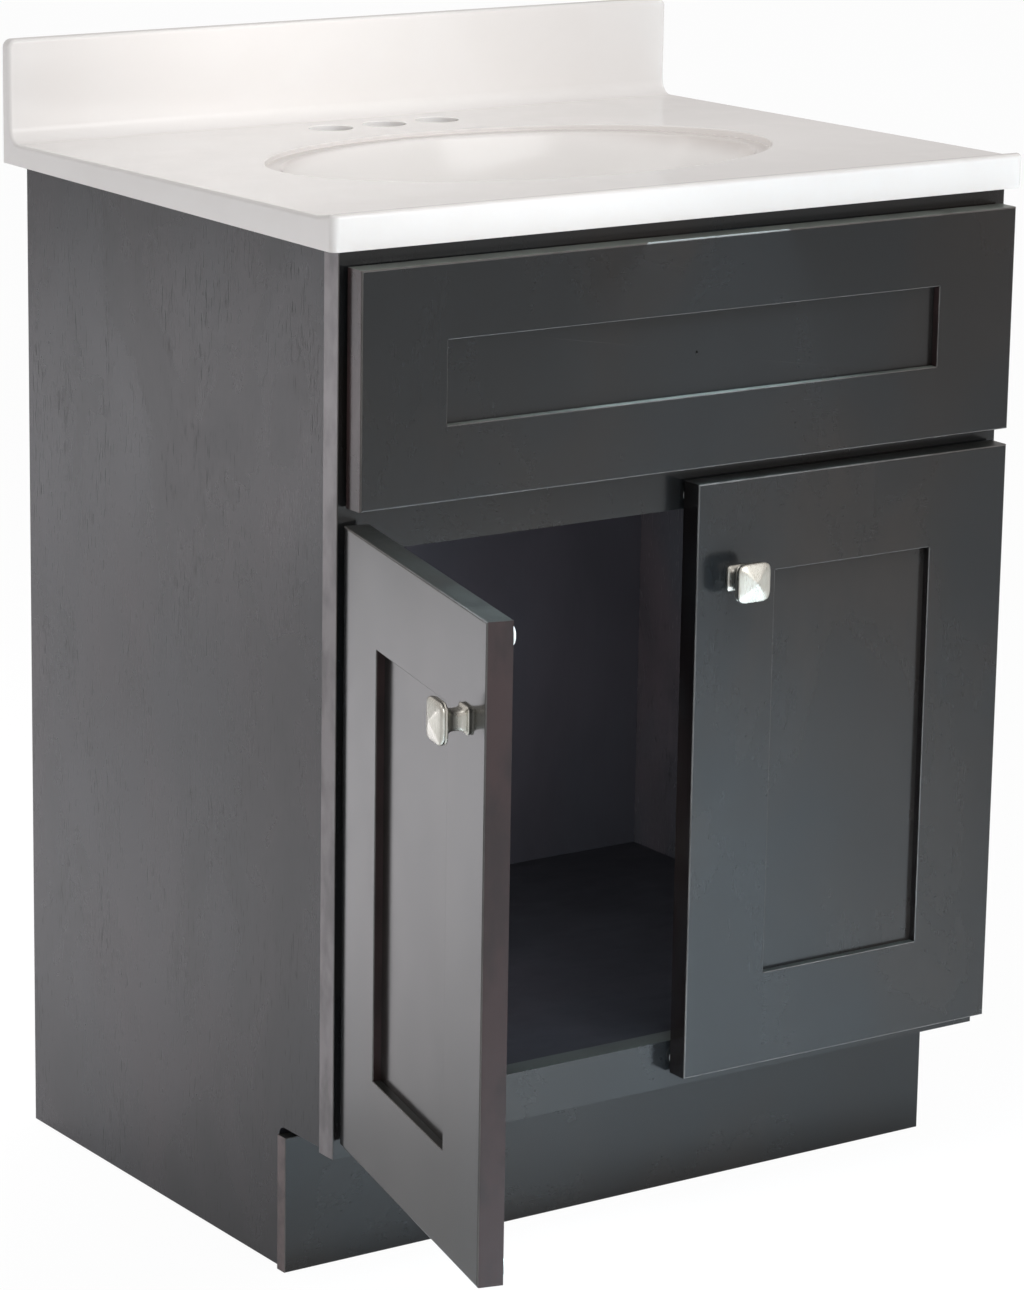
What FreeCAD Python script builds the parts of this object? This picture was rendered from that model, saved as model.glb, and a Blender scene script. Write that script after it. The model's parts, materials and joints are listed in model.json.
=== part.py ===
import FreeCAD
import Part
import Sketcher
import os
import re

# Bathroom vanity cabinet: a face-frame carcass with a false drawer front, a
# pair of framed doors on concealed cup hinges, and a one-piece cast top with
# an oval bowl. Millimetres. +Z is up and the front faces -Y. The origin is on
# the floor, at the middle of the carcass's back plane. The left door stands
# open at rest, and the right door is closed.

doc = FreeCAD.newDocument("bathroom_vanity")

# ---------------------------------------------------------------- the sizes

SIZES = {
    # carcass
    "cabinet_width": 609.6,
    "cabinet_depth": 458.0,
    "cabinet_height": 792.0,
    "side_thickness": 12.7,
    "side_lift": 2.5,
    "bottom_thickness": 12.0,
    "back_thickness": 6.0,
    "dado_depth": 5.0,
    "back_rail_height": 90.0,
    "back_rail_thickness": 16.0,
    "brace_leg": 62.0,
    "brace_thickness": 12.0,
    # toe kick
    "toe_height": 111.0,
    "toe_recess": 64.5,
    "toe_board_thickness": 11.0,
    "toe_board_height": 108.0,
    "toe_board_overrun": 1.5,
    "toe_notch_rise": 4.0,
    "toe_notch_radius": 7.0,
    # face frame
    "frame_thickness": 19.0,
    "frame_width": 38.0,
    "middle_rail_drop": 221.5,
    "frame_round": 0.8,
    # doors and false drawer front
    "front_width": 598.0,
    "front_thickness": 19.0,
    "front_gap": 3.0,
    "front_round": 1.5,
    "inner_round": 1.0,
    "door_split": 2.0,
    "door_rise": 13.0,
    "door_member_width": 74.0,
    "drawer_drop": 12.0,
    "drawer_height": 174.5,
    "drawer_break": 12.5,
    "drawer_stile_width": 73.5,
    "drawer_rail_width": 56.0,
    "panel_recess": 6.4,
    "panel_thickness": 6.0,
    "groove_depth": 9.0,
    "panel_clearance": 0.4,
    "pilot_radius": 1.3,
    "pilot_depth": 1.2,
    # false drawer front fixings
    "spacer_radius": 8.0,
    "fixing_inset": 19.5,
    "fixing_end": 34.0,
    "fixing_radius": 2.0,
    "fixing_length": 34.0,
    "fixing_head_radius": 4.2,
    "fixing_head_height": 2.6,
    # hinges
    "open_angle": 103.8,
    "axis_inset": 6.0,
    "axis_depth": 9.0,
    "hinge_end": 75.0,
    "cup_radius": 17.5,
    "cup_edge": 3.0,
    "cup_depth": 12.7,
    "cup_wall": 0.8,
    "cup_notch_half": 5.6,
    "flange_thickness": 0.8,
    "flange_start": 10.0,
    "flange_end": 35.5,
    "flange_half_height": 27.0,
    "ear_start": 5.4,
    "ear_end": 7.4,
    "ear_back": 1.3,
    "ear_front": 2.4,
    "pin_radius": 1.0,
    "pin_clearance": 0.05,
    "pin_half_length": 7.4,
    "knuckle_radius": 1.8,
    "arm_thickness": 1.2,
    "arm_half_width": 5.0,
    "arm_reach": 12.9,
    "arm_drop": 1.8,
    "plate_half_height": 17.0,
    "plate_depth": 17.0,
    "hinge_screw_radius": 1.7,
    "hinge_screw_length": 12.0,
    "hinge_head_radius": 3.3,
    "hinge_head_height": 1.1,
    "cup_screw_offset": 22.0,
    "cup_screw_inset": 30.0,
    "plate_screw_offset": 10.0,
    # knobs and bumpers
    "knob_inset": 37.0,
    "knob_drop": 75.0,
    "knob_base": 20.0,
    "knob_neck": 15.5,
    "knob_head": 30.5,
    "knob_tip": 2.0,
    "knob_projection": 27.0,
    "knob_screw_radius": 2.0,
    "knob_screw_reach": 12.0,
    "knob_screw_head_radius": 4.2,
    "knob_screw_head_height": 2.6,
    "bumper_radius": 7.6,
    "bumper_thickness": 2.7,
    "bumper_inset": 7.9,
    "bumper_drop": 11.5,
    # cast top
    "top_width": 631.0,
    "top_front_overhang": 9.0,
    "top_back_overhang": 18.0,
    "top_edge_height": 26.5,
    "deck_front_height": 23.5,
    "deck_back_height": 16.5,
    "lip_flat": 6.0,
    "lip_slope": 17.0,
    "splash_height": 97.0,
    "splash_thickness": 10.0,
    "splash_corner": 7.0,
    "splash_cove": 12.0,
    "top_corner": 6.0,
    "top_round": 3.0,
    "bowl_setback": 241.0,
    "bowl_length": 436.0,
    "bowl_breadth": 280.0,
    "bowl_ledge": 13.0,
    "bowl_rim_round": 1.2,
    "bowl_lip_round": 4.0,
    "bowl_step_height": 15.0,
    "bowl_depth": 117.5,
    "bowl_wall": 9.0,
    "drain_radius": 22.2,
    "overflow_radius": 7.0,
    "overflow_depth": 6.0,
    "overflow_drop": 24.0,
    "faucet_spacing": 50.8,
    "faucet_setback": 42.0,
    "faucet_radius": 17.5,
    "faucet_round": 1.0,
}

# Places worked out from the sizes above.
PLACES = {
    "half_width": "cabinet_width / 2",
    "inner_half": "half_width - side_thickness",
    "frame_front": "-cabinet_depth",
    "frame_back": "frame_front + frame_thickness",
    "stile_edge": "half_width - frame_width",
    "opening_low": "toe_height + frame_width",
    "top_rail_low": "cabinet_height - frame_width",
    "toe_front": "frame_front + toe_recess",
    "toe_back": "toe_front + toe_board_thickness",
    "front_back": "frame_front - front_gap",
    "front_face": "front_back - front_thickness",
    "front_half": "front_width / 2",
    "groove_front": "front_face + panel_recess",
    "groove_back": "groove_front + panel_thickness",
    "door_width": "(front_width - door_split) / 2",
    "middle_rail_low": "cabinet_height - middle_rail_drop",
    "drawer_high": "cabinet_height - drawer_drop",
    "drawer_low": "drawer_high - drawer_height",
    "door_low": "toe_height + door_rise",
    "door_high": "drawer_low - drawer_break",
    "axis_x": "front_half - axis_inset",
    "axis_y": "front_back - axis_depth",
    "free_reach": "door_width - axis_inset",
    "leaf_front": "axis_depth - front_thickness",
    "leaf_groove_front": "leaf_front + panel_recess",
    "leaf_groove_back": "leaf_groove_front + panel_thickness",
    "hinge_low": "door_low + hinge_end",
    "hinge_high": "door_high - hinge_end",
    "cup_centre": "cup_edge + cup_radius - axis_inset",
    "cup_floor": "axis_depth - cup_depth",
    "frame_plane": "axis_depth + front_gap",
    "frame_edge": "axis_x - stile_edge",
    "panel_hold": "groove_depth - panel_clearance",
    "fixing_x": "front_half - fixing_inset",
    "cup_screw_x": "cup_screw_inset - axis_inset",
    "deck_back_z": "cabinet_height + deck_back_height",
    "splash_z": "cabinet_height + splash_height",
    "top_edge_z": "cabinet_height + top_edge_height",
    "plate_screw_y": "frame_plane + frame_thickness / 2",
    "knob_x": "free_reach - knob_inset",
    "knob_z": "door_high - knob_drop",
    "top_half": "top_width / 2",
    "top_front": "frame_front - top_front_overhang",
    "splash_front": "top_back_overhang - splash_thickness",
    "bowl_a": "bowl_length / 2",
    "bowl_b": "bowl_breadth / 2",
}

HANDS = (("left", 1), ("right", -1))


def make_sheet():
    """Writes the sizes into the spreadsheet, one alias to each."""
    table = doc.addObject("Spreadsheet::Sheet", "Sizes")
    for row, (alias, value) in enumerate(SIZES.items(), start=1):
        table.set("A%d" % row, alias)
        table.set("B%d" % row, str(value))
        table.setAlias("B%d" % row, alias)
    doc.recompute()
    return table


def bound(text):
    """Turns a formula of size and place names into a spreadsheet expression."""
    def swap(match):
        word = match.group(0)
        if word in PLACES:
            return "(" + bound(PLACES[word]) + ")"
        if word in SIZES:
            return "Sizes." + word
        return word
    return re.sub(r"[a-z_]+", swap, text)


def negative(text):
    return "-(%s)" % text


def pair(hand, low, high):
    """The span from low to high, mirrored across the hinge axis for a right hand."""
    if hand > 0:
        return low, high
    return negative(high), negative(low)


def side(hand, text):
    """One X place, mirrored for a right hand."""
    return text if hand > 0 else negative(text)


# ------------------------------------------------------- building functions

def new_body(label):
    body = doc.addObject("PartDesign::Body", label)
    body.Label = label
    body.AllowCompound = True
    return body


def place(feature, x, y, z):
    feature.setExpression("Placement.Base.x", bound(x))
    feature.setExpression("Placement.Base.y", bound(y))
    feature.setExpression("Placement.Base.z", bound(z))


def block(body, sign, x, y, z):
    """Adds or cuts a box between the (low, high) pairs x, y and z."""
    kind = "Additive" if sign == "add" else "Subtractive"
    feature = body.newObject("PartDesign::%sBox" % kind, body.Label + "_block")
    for size_name, (low, high) in (("Length", x), ("Width", y), ("Height", z)):
        feature.setExpression(size_name, bound("(%s) - (%s)" % (high, low)))
    place(feature, x[0], y[0], z[0])
    return feature


TURNS = {
    "+x": FreeCAD.Rotation(FreeCAD.Vector(0, 1, 0), 90),
    "-x": FreeCAD.Rotation(FreeCAD.Vector(0, 1, 0), -90),
    "+y": FreeCAD.Rotation(FreeCAD.Vector(1, 0, 0), -90),
    "-y": FreeCAD.Rotation(FreeCAD.Vector(1, 0, 0), 90),
    "+z": FreeCAD.Rotation(),
    "-z": FreeCAD.Rotation(FreeCAD.Vector(1, 0, 0), 180),
}


def rod(body, sign, radius, start, length, way):
    """Adds or cuts a cylinder from the point start along one of TURNS."""
    kind = "Additive" if sign == "add" else "Subtractive"
    feature = body.newObject("PartDesign::%sCylinder" % kind, body.Label + "_rod")
    feature.Placement = FreeCAD.Placement(FreeCAD.Vector(), TURNS[way])
    feature.setExpression("Radius", bound(radius))
    feature.setExpression("Height", bound(length))
    place(feature, *start)
    return feature


def board(label, x, y, z):
    """A plain rectangular board."""
    body = new_body(label)
    block(body, "add", x, y, z)
    return body


def value(text):
    """The number that a formula of size and place names stands for."""
    return float(sheet.evalExpression(bound(text)))


def near(a, b):
    return abs(a - b) < 0.01


def round_edges(body, radius, test, shortest=0, longest=10000):
    """Rounds the edges whose middle point and length pass the test and limits."""
    doc.recompute()
    tip = body.Tip
    names = ["Edge%d" % number for number, edge in enumerate(tip.Shape.Edges, start=1)
             if test(edge.CenterOfMass) and shortest < edge.Length < longest]
    feature = body.newObject("PartDesign::Fillet", body.Label + "_edge")
    feature.Base = (tip, names)
    feature.setExpression("Radius", bound(radius))
    return feature


def hang(body, hand, angle):
    """Puts a leaf's piece on its hinge axis and turns it open by the angle."""
    turn = FreeCAD.Rotation(FreeCAD.Vector(0, 0, -hand), 1)
    body.Placement = FreeCAD.Placement(FreeCAD.Vector(), turn)
    place(body, side(-hand, "axis_x"), "axis_y", "0")
    body.setExpression("Placement.Rotation.Angle", bound(angle))


def plane(body, role):
    return [item for item in body.Origin.OriginFeatures if item.Role == role][0]


def new_sketch(body, role, name, offset="0"):
    sketch = body.newObject("Sketcher::SketchObject", body.Label + "_" + name)
    sketch.AttachmentSupport = [(plane(body, role), "")]
    sketch.MapMode = "FlatFace"
    sketch.setExpression("AttachmentOffset.Base.z", bound(offset))
    return sketch


ORIGIN_POINT = (-1, 1)


def pin_point(sketch, point, x, y):
    """Fixes one sketch point at the formulas x and y."""
    for name, text in (("DistanceX", x), ("DistanceY", y)):
        index = sketch.addConstraint(Sketcher.Constraint(name, *ORIGIN_POINT, *point, value(text)))
        sketch.setExpression("Constraints[%d]" % index, bound(text))


def outline(sketch, points):
    """A closed outline of straight lines through points given as formulas."""
    corners = [FreeCAD.Vector(value(x), value(y), 0) for x, y in points]
    count = len(corners)
    for number in range(count):
        sketch.addGeometry(Part.LineSegment(corners[number], corners[(number + 1) % count]), False)
    for number in range(count):
        after = (number + 1) % count
        sketch.addConstraint(Sketcher.Constraint("Coincident", number, 2, after, 1))
    for number, (x, y) in enumerate(points):
        pin_point(sketch, (number, 1), x, y)


def oval(sketch, half_x, half_y, y):
    """An ellipse on the Y axis, with its half lengths and centre as formulas."""
    centre = FreeCAD.Vector(0, value(y), 0)
    long_half = value(half_x)
    short_half = value(half_y)
    curve = sketch.addGeometry(Part.Ellipse(centre, long_half, short_half), False)
    sketch.exposeInternalGeometry(curve)
    pin_point(sketch, (curve, 3), "0", y)
    sketch.addConstraint(Sketcher.Constraint("Horizontal", curve + 1))
    for line, text in ((curve + 1, half_x), (curve + 2, half_y)):
        index = sketch.addConstraint(Sketcher.Constraint("Distance", line, 1, line, 2, 2 * value(text)))
        sketch.setExpression("Constraints[%d]" % index, "2 * (%s)" % bound(text))


# ------------------------------------------------------------------ carcass

def side_panel(name, hand):
    """One side: notched for the toe space, with a dado and a back rabbet.

    It ends a little above the floor, so the cabinet stands on the toe board
    and the back panel.
    """
    body = new_body(name + "_side_panel")
    outer, inner = "half_width", "inner_half"
    block(body, "add", pair(-hand, inner, outer), ("frame_back", "0"),
          ("side_lift", "cabinet_height"))
    notch_high = "toe_height + toe_notch_rise"
    block(body, "cut", pair(-hand, inner, outer), ("frame_back", "toe_back"), ("0", notch_high))
    dado = pair(-hand, inner, "inner_half + dado_depth")
    block(body, "cut", dado, ("frame_back", "0"), ("opening_low - bottom_thickness", "opening_low"))
    block(body, "cut", dado, ("-back_thickness", "0"), ("0", "cabinet_height"))
    corner_y = value("toe_back")
    corner_z = value(notch_high)
    round_edges(body, "toe_notch_radius",
                lambda p: near(p.y, corner_y) and near(p.z, corner_z))
    return body


def carcass():
    for name, hand in HANDS:
        side_panel(name, hand)
    wide = ("-inner_half - dado_depth", "inner_half + dado_depth")
    board("bottom_panel", wide, ("frame_back", "-back_thickness"),
          ("opening_low - bottom_thickness", "opening_low"))
    board("back_panel", wide, ("-back_thickness", "0"), ("0", "cabinet_height"))
    board("back_rail", ("-inner_half", "inner_half"),
          ("-back_thickness - back_rail_thickness", "-back_thickness"),
          ("cabinet_height - back_rail_height", "cabinet_height"))
    toe = ("-half_width - toe_board_overrun", "half_width + toe_board_overrun")
    toe_board = board("toe_board", toe, ("toe_front", "toe_back"),
                      ("0", "toe_board_height"))
    front_y = value("toe_front")
    round_edges(toe_board, "frame_round", lambda p: near(p.y, front_y))


def corner_braces():
    """Four triangular blocks that square the carcass and carry the top."""
    body = new_body("corner_braces")
    back = "-back_thickness - back_rail_thickness"
    for number, (x_hand, y_corner, y_way) in enumerate(
            ((-1, back, "-"), (1, back, "-"), (-1, "frame_back", "+"), (1, "frame_back", "+"))):
        corner_x = side(x_hand, "inner_half")
        leg_x = side(x_hand, "(inner_half - brace_leg)")
        leg_y = "%s %s brace_leg" % (y_corner, y_way)
        sketch = new_sketch(body, "XY_Plane", "corner_%d" % number,
                            "cabinet_height - brace_thickness")
        outline(sketch, ((corner_x, y_corner), (leg_x, y_corner), (corner_x, leg_y)))
        pad = body.newObject("PartDesign::Pad", "brace_%d" % number)
        pad.Profile = sketch
        pad.setExpression("Length", bound("brace_thickness"))
    return body


# --------------------------------------------------------------- face frame

def face_frame():
    """Two stiles and three rails, with the outer front edges eased."""
    depth = ("frame_front", "frame_back")
    front_y = value("frame_front")
    for name, hand in HANDS:
        stile = new_body("face_frame_%s_stile" % name)
        block(stile, "add", pair(-hand, "stile_edge", "half_width"), depth,
              ("toe_height", "cabinet_height"))
        outer_x = value(side(-hand, "half_width"))
        inner_x = value(side(-hand, "stile_edge"))
        for level in FIXING_LEVELS:
            rod(stile, "cut", "fixing_radius", (side(-hand, "fixing_x"), "frame_back", level),
                "frame_thickness", "-y")
        for level in HINGE_LEVELS:
            for offset in ("-plate_screw_offset", "plate_screw_offset"):
                rod(stile, "cut", "hinge_screw_radius",
                    (side(-hand, "stile_edge"), "frame_front + frame_thickness / 2",
                     level + " + " + offset),
                    "hinge_screw_length - arm_thickness", "-x" if hand > 0 else "+x")
        round_edges(stile, "frame_round",
                    lambda p: near(p.y, front_y) and near(p.x, outer_x))
    across = ("-stile_edge", "stile_edge")
    for name, low in (("top", "top_rail_low"), ("middle", "middle_rail_low"),
                      ("bottom", "toe_height")):
        board("face_frame_%s_rail" % name, across, depth, (low, low + " + frame_width"))


# ------------------------------------------- framed fronts: doors and drawer

def framed_front(names, x, y, groove, z, stile_width, rail_width):
    """Stiles and rails grooved round a flat panel. Returns the five bodies."""
    left_inner = "%s + %s" % (x[0], stile_width)
    right_inner = "%s - %s" % (x[1], stile_width)
    low_inner = "%s + %s" % (z[0], rail_width)
    high_inner = "%s - %s" % (z[1], rail_width)
    made = {}
    slots = {"left_stile": ((x[0], left_inner), (left_inner + " - groove_depth", left_inner)),
             "right_stile": ((right_inner, x[1]), (right_inner, right_inner + " + groove_depth"))}
    for key, (span, slot) in slots.items():
        made[key] = new_body(names[key])
        block(made[key], "add", span, y, z)
        block(made[key], "cut", slot, groove, z)
    tongue = (left_inner + " - groove_depth", right_inner + " + groove_depth")
    slots = {"bottom_rail": ((z[0], low_inner), (low_inner + " - groove_depth", low_inner)),
             "top_rail": ((high_inner, z[1]), (high_inner, high_inner + " + groove_depth"))}
    for key, (span, slot) in slots.items():
        made[key] = new_body(names[key])
        block(made[key], "add", (left_inner, right_inner), y, span)
        block(made[key], "add", tongue, groove, span)
        block(made[key], "cut", tongue, groove, slot)
    panel_x = ("%s - %s" % (left_inner, "panel_hold"), "%s + %s" % (right_inner, "panel_hold"))
    panel_z = ("%s - %s" % (low_inner, "panel_hold"), "%s + %s" % (high_inner, "panel_hold"))
    made["panel"] = board(names["panel"], panel_x, groove, panel_z)
    ease_front(made, "front_round", y[0], x, z)
    ease_recess(made, y[0], (left_inner, right_inner), (low_inner, high_inner))
    return made


def ease_front(made, radius, y, x, z):
    """Rounds the front edges of a frame that lie along the X places or the Z places."""
    front_y = value(y)
    ends_x = [value(place) for place in x]
    ends_z = [value(place) for place in z]

    def stile_edge(point):
        return near(point.y, front_y) and any(near(point.x, end) for end in ends_x)

    def rail_edge(point):
        return near(point.y, front_y) and any(near(point.z, end) for end in ends_z)

    for key in ("left_stile", "right_stile"):
        round_edges(made[key], radius, lambda p: stile_edge(p) or rail_edge(p))
    for key in ("bottom_rail", "top_rail"):
        round_edges(made[key], radius, rail_edge)


def ease_recess(made, y, x, z):
    """Eases the recess's edges, on the stiles only between the rails."""
    front_y = value(y)
    ends_z = [value(place) for place in z]
    for key in ("bottom_rail", "top_rail"):
        round_edges(made[key], "inner_round",
                    lambda p: near(p.y, front_y) and any(near(p.z, end) for end in ends_z))
    skin = (y, y + " + inner_round")
    run = "(%s) - (%s)" % (z[1], z[0])
    in_left = x[0] + " - inner_round"
    in_right = x[1] + " + inner_round"
    for key, span, centre in (("left_stile", (in_left, x[0]), in_left),
                              ("right_stile", (x[1], in_right), in_right)):
        block(made[key], "cut", span, skin, z)
        rod(made[key], "add", "inner_round", (centre, skin[1], z[0]), run, "+z")


def drawer_front():
    """The false drawer front, held by four screws through the frame's stiles."""
    names = {key: "drawer_front_" + key
             for key in ("left_stile", "right_stile", "bottom_rail", "top_rail", "panel")}
    made = framed_front(names, ("-front_half", "front_half"), ("front_face", "front_back"),
                        ("groove_front", "groove_back"), ("drawer_low", "drawer_high"),
                        "drawer_stile_width", "drawer_rail_width")
    middle = "drawer_low + drawer_height / 2"
    rod(made["panel"], "cut", "pilot_radius", ("0", "groove_front + pilot_depth", middle),
        "pilot_depth + 1", "-y")
    for name, hand in HANDS:
        for level in FIXING_LEVELS:
            rod(made[name + "_stile"], "cut", "fixing_radius",
                (side(-hand, "fixing_x"), "front_back", level),
                "fixing_length - frame_thickness - front_gap", "-y")


def drawer_front_fixings():
    """Spacers between the frame and the false front, and the screws through them."""
    spacers = new_body("drawer_front_spacers")
    screws = new_body("drawer_front_screws")
    for name, hand in HANDS:
        for level in FIXING_LEVELS:
            x = side(-hand, "fixing_x")
            rod(spacers, "add", "spacer_radius", (x, "frame_front", level), "front_gap", "-y")
            rod(spacers, "cut", "fixing_radius", (x, "frame_front", level), "front_gap", "-y")
            rod(screws, "add", "fixing_radius", (x, "frame_back", level), "fixing_length", "-y")
            rod(screws, "add", "fixing_head_radius", (x, "frame_back", level),
                "fixing_head_height", "+y")


def door(name, hand, angle):
    """One door leaf, drawn about its hinge axis and then turned open."""
    hinge, free = ("left", "right") if hand > 0 else ("right", "left")
    names = {hinge + "_stile": name + "_door_hinge_stile", free + "_stile": name + "_door_free_stile",
             "top_rail": name + "_door_top_rail", "bottom_rail": name + "_door_bottom_rail",
             "panel": name + "_door_panel"}
    made = framed_front(names, pair(hand, "-axis_inset", "free_reach"), ("leaf_front", "axis_depth"),
                        ("leaf_groove_front", "leaf_groove_back"), ("door_low", "door_high"),
                        "door_member_width", "door_member_width")
    bored = made[hinge + "_stile"]
    for level in HINGE_LEVELS:
        rod(bored, "cut", "cup_radius", (side(hand, "cup_centre"), "axis_depth", level),
            "cup_depth", "-y")
        for sign in ("-", "+"):
            rod(bored, "cut", "hinge_screw_radius",
                (side(hand, "cup_screw_x"), "axis_depth", level + sign + "cup_screw_offset"),
                "hinge_screw_length - flange_thickness", "-y")
    rod(made[free + "_stile"], "cut", "knob_screw_radius",
        (side(hand, "knob_x"), "axis_depth", "knob_z"), "front_thickness", "-y")
    for body in made.values():
        hang(body, hand, angle)


# ------------------------------------------------------------------- hinges

def hinge_cups(name, hand, angle):
    """Cups with their flanges and the ears that hold the pins."""
    body = new_body(name + "_hinge_cups")
    for level in HINGE_LEVELS:
        centre = (side(hand, "cup_centre"), "cup_floor", level)
        rod(body, "add", "cup_radius", centre, "cup_depth", "+y")
        block(body, "add", pair(hand, "flange_start - axis_inset", "flange_end - axis_inset"),
              ("axis_depth", "axis_depth + flange_thickness"),
              (level + " - flange_half_height", level + " + flange_half_height"))
        inside = (centre[0], "cup_floor + cup_wall", level)
        rod(body, "cut", "cup_radius - cup_wall", inside, "cup_depth + flange_thickness", "+y")
        block(body, "cut", pair(hand, "cup_edge - axis_inset - 1", "cup_edge - axis_inset + 3"),
              ("cup_floor + cup_wall", "axis_depth + 1"),
              (level + " - cup_notch_half", level + " + cup_notch_half"))
        for low, high in ((" + ear_start", " + ear_end"), (" - ear_end", " - ear_start")):
            block(body, "add", pair(hand, "-ear_back", "ear_front"), ("cup_floor", "ear_front"),
                  (level + low, level + high))
        rod(body, "cut", "pin_radius", ("0", "0", level + " - pin_half_length"),
            "2 * pin_half_length", "+z")
        for sign in ("-", "+"):
            rod(body, "cut", "hinge_screw_radius",
                (side(hand, "cup_screw_x"), "axis_depth + flange_thickness",
                 level + sign + "cup_screw_offset"), "flange_thickness", "-y")
    hang(body, hand, angle)


def hinge_pins(name, hand, angle):
    body = new_body(name + "_hinge_pins")
    for level in HINGE_LEVELS:
        rod(body, "add", "pin_radius", ("0", "0", level + " - pin_half_length"),
            "2 * pin_half_length", "+z")
    hang(body, hand, angle)


def hinge_arms(name, hand):
    """Cranked arms from the pins round the edge of the face frame's stile."""
    body = new_body(name + "_hinge_arms")
    half = "arm_thickness / 2"
    for number, level in enumerate(HINGE_LEVELS):
        rod(body, "add", "knuckle_radius", ("0", "0", level + " - arm_half_width"),
            "2 * arm_half_width", "+z")
        sketch = new_sketch(body, "XY_Plane", "bend_%d" % number, level + " - arm_half_width")
        bend = (("0", "-%s" % half), ("arm_reach + " + half, "-arm_drop - " + half),
                ("arm_reach + " + half, "frame_plane - arm_thickness"),
                ("frame_edge + arm_thickness", "frame_plane - arm_thickness"),
                ("frame_edge + arm_thickness", "frame_plane + plate_depth"),
                ("frame_edge", "frame_plane + plate_depth"), ("frame_edge", "frame_plane"),
                ("arm_reach - " + half, "frame_plane"),
                ("arm_reach - " + half, "-arm_drop + " + half), ("0", half))
        outline(sketch, [(side(hand, "(%s)" % x), y) for x, y in bend])
        pad = body.newObject("PartDesign::Pad", "%s_bend_%d" % (name, number))
        pad.Profile = sketch
        pad.setExpression("Length", bound("2 * arm_half_width"))
        block(body, "add", pair(hand, "frame_edge", "frame_edge + arm_thickness"),
              ("frame_plane", "frame_plane + plate_depth"),
              (level + " - plate_half_height", level + " + plate_half_height"))
        rod(body, "cut", "pin_radius + pin_clearance", ("0", "0", level + " - arm_half_width"),
            "2 * arm_half_width", "+z")
        for sign in ("-", "+"):
            rod(body, "cut", "hinge_screw_radius",
                (side(hand, "(frame_edge + arm_thickness)"), "plate_screw_y",
                 level + sign + "plate_screw_offset"), "arm_thickness", "-x" if hand > 0 else "+x")
    hang(body, hand, "0")


def hinge_screws(name, hand, angle):
    """Short screws: the flanges to the door, and the arms to the face frame."""
    door_screws = new_body(name + "_hinge_door_screws")
    frame_screws = new_body(name + "_hinge_frame_screws")
    inboard, outboard = ("+x", "-x") if hand > 0 else ("-x", "+x")
    for level in HINGE_LEVELS:
        for sign in ("-", "+"):
            start = (side(hand, "cup_screw_x"), "axis_depth + flange_thickness",
                     level + sign + "cup_screw_offset")
            rod(door_screws, "add", "hinge_screw_radius", start, "hinge_screw_length", "-y")
            rod(door_screws, "add", "hinge_head_radius", start, "hinge_head_height", "+y")
            start = (side(hand, "(frame_edge + arm_thickness)"), "plate_screw_y",
                     level + sign + "plate_screw_offset")
            rod(frame_screws, "add", "hinge_screw_radius", start, "hinge_screw_length", outboard)
            rod(frame_screws, "add", "hinge_head_radius", start, "hinge_head_height", inboard)
    hang(door_screws, hand, angle)
    hang(frame_screws, hand, "0")


# --------------------------------------------------------- knobs and bumpers

# Distance out from the door as a share of the projection, and half width.
KNOB_STATIONS = (("0", "knob_base / 2"), ("0.09 * knob_projection", "knob_base / 2"),
                 ("0.20 * knob_projection", "knob_neck / 2"),
                 ("0.53 * knob_projection", "knob_neck / 2"),
                 ("0.66 * knob_projection", "knob_head / 2 - 1.5"),
                 ("0.71 * knob_projection", "knob_head / 2"),
                 ("0.87 * knob_projection", "knob_head / 2"),
                 ("knob_projection", "knob_tip / 2"))


def knob(name, hand, angle):
    """A square knob: flared base, narrow neck and a pyramid-faced head."""
    body = new_body(name + "_knob")
    for (near_y, near_half), (far_y, far_half) in zip(KNOB_STATIONS, KNOB_STATIONS[1:]):
        stage = body.newObject("PartDesign::AdditiveWedge", body.Label + "_stage")
        spans = {"Xmin": "-(%s)" % far_half, "Xmax": far_half, "Zmin": "-(%s)" % far_half,
                 "Zmax": far_half, "X2min": "-(%s)" % near_half, "X2max": near_half,
                 "Z2min": "-(%s)" % near_half, "Z2max": near_half,
                 "Ymin": "-(%s)" % far_y, "Ymax": "-(%s)" % near_y}
        for prop, text in spans.items():
            stage.setExpression(prop, bound(text))
        place(stage, side(hand, "knob_x"), "leaf_front", "knob_z")
    rod(body, "cut", "knob_screw_radius", (side(hand, "knob_x"), "leaf_front", "knob_z"),
        "knob_screw_reach", "-y")
    hang(body, hand, angle)
    screw = new_body(name + "_knob_screw")
    back = (side(hand, "knob_x"), "axis_depth", "knob_z")
    rod(screw, "add", "knob_screw_radius", back, "front_thickness + knob_screw_reach", "-y")
    rod(screw, "add", "knob_screw_head_radius", back, "knob_screw_head_height", "+y")
    hang(screw, hand, angle)


def bumpers(name, hand, angle):
    body = new_body(name + "_door_bumpers")
    for level in ("door_low + bumper_drop", "door_high - bumper_drop"):
        rod(body, "add", "bumper_radius",
            (side(hand, "(free_reach - bumper_inset)"), "axis_depth", level),
            "bumper_thickness", "+y")
    hang(body, hand, angle)


# ----------------------------------------------------------------- cast top

# The bowl's sections: share of its depth, and share of its length and breadth.
BOWL_SECTIONS = ((0.0, 1.0), (0.18, 0.95), (0.45, 0.83), (0.72, 0.63), (0.90, 0.40), (1.0, 0.20))


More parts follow.
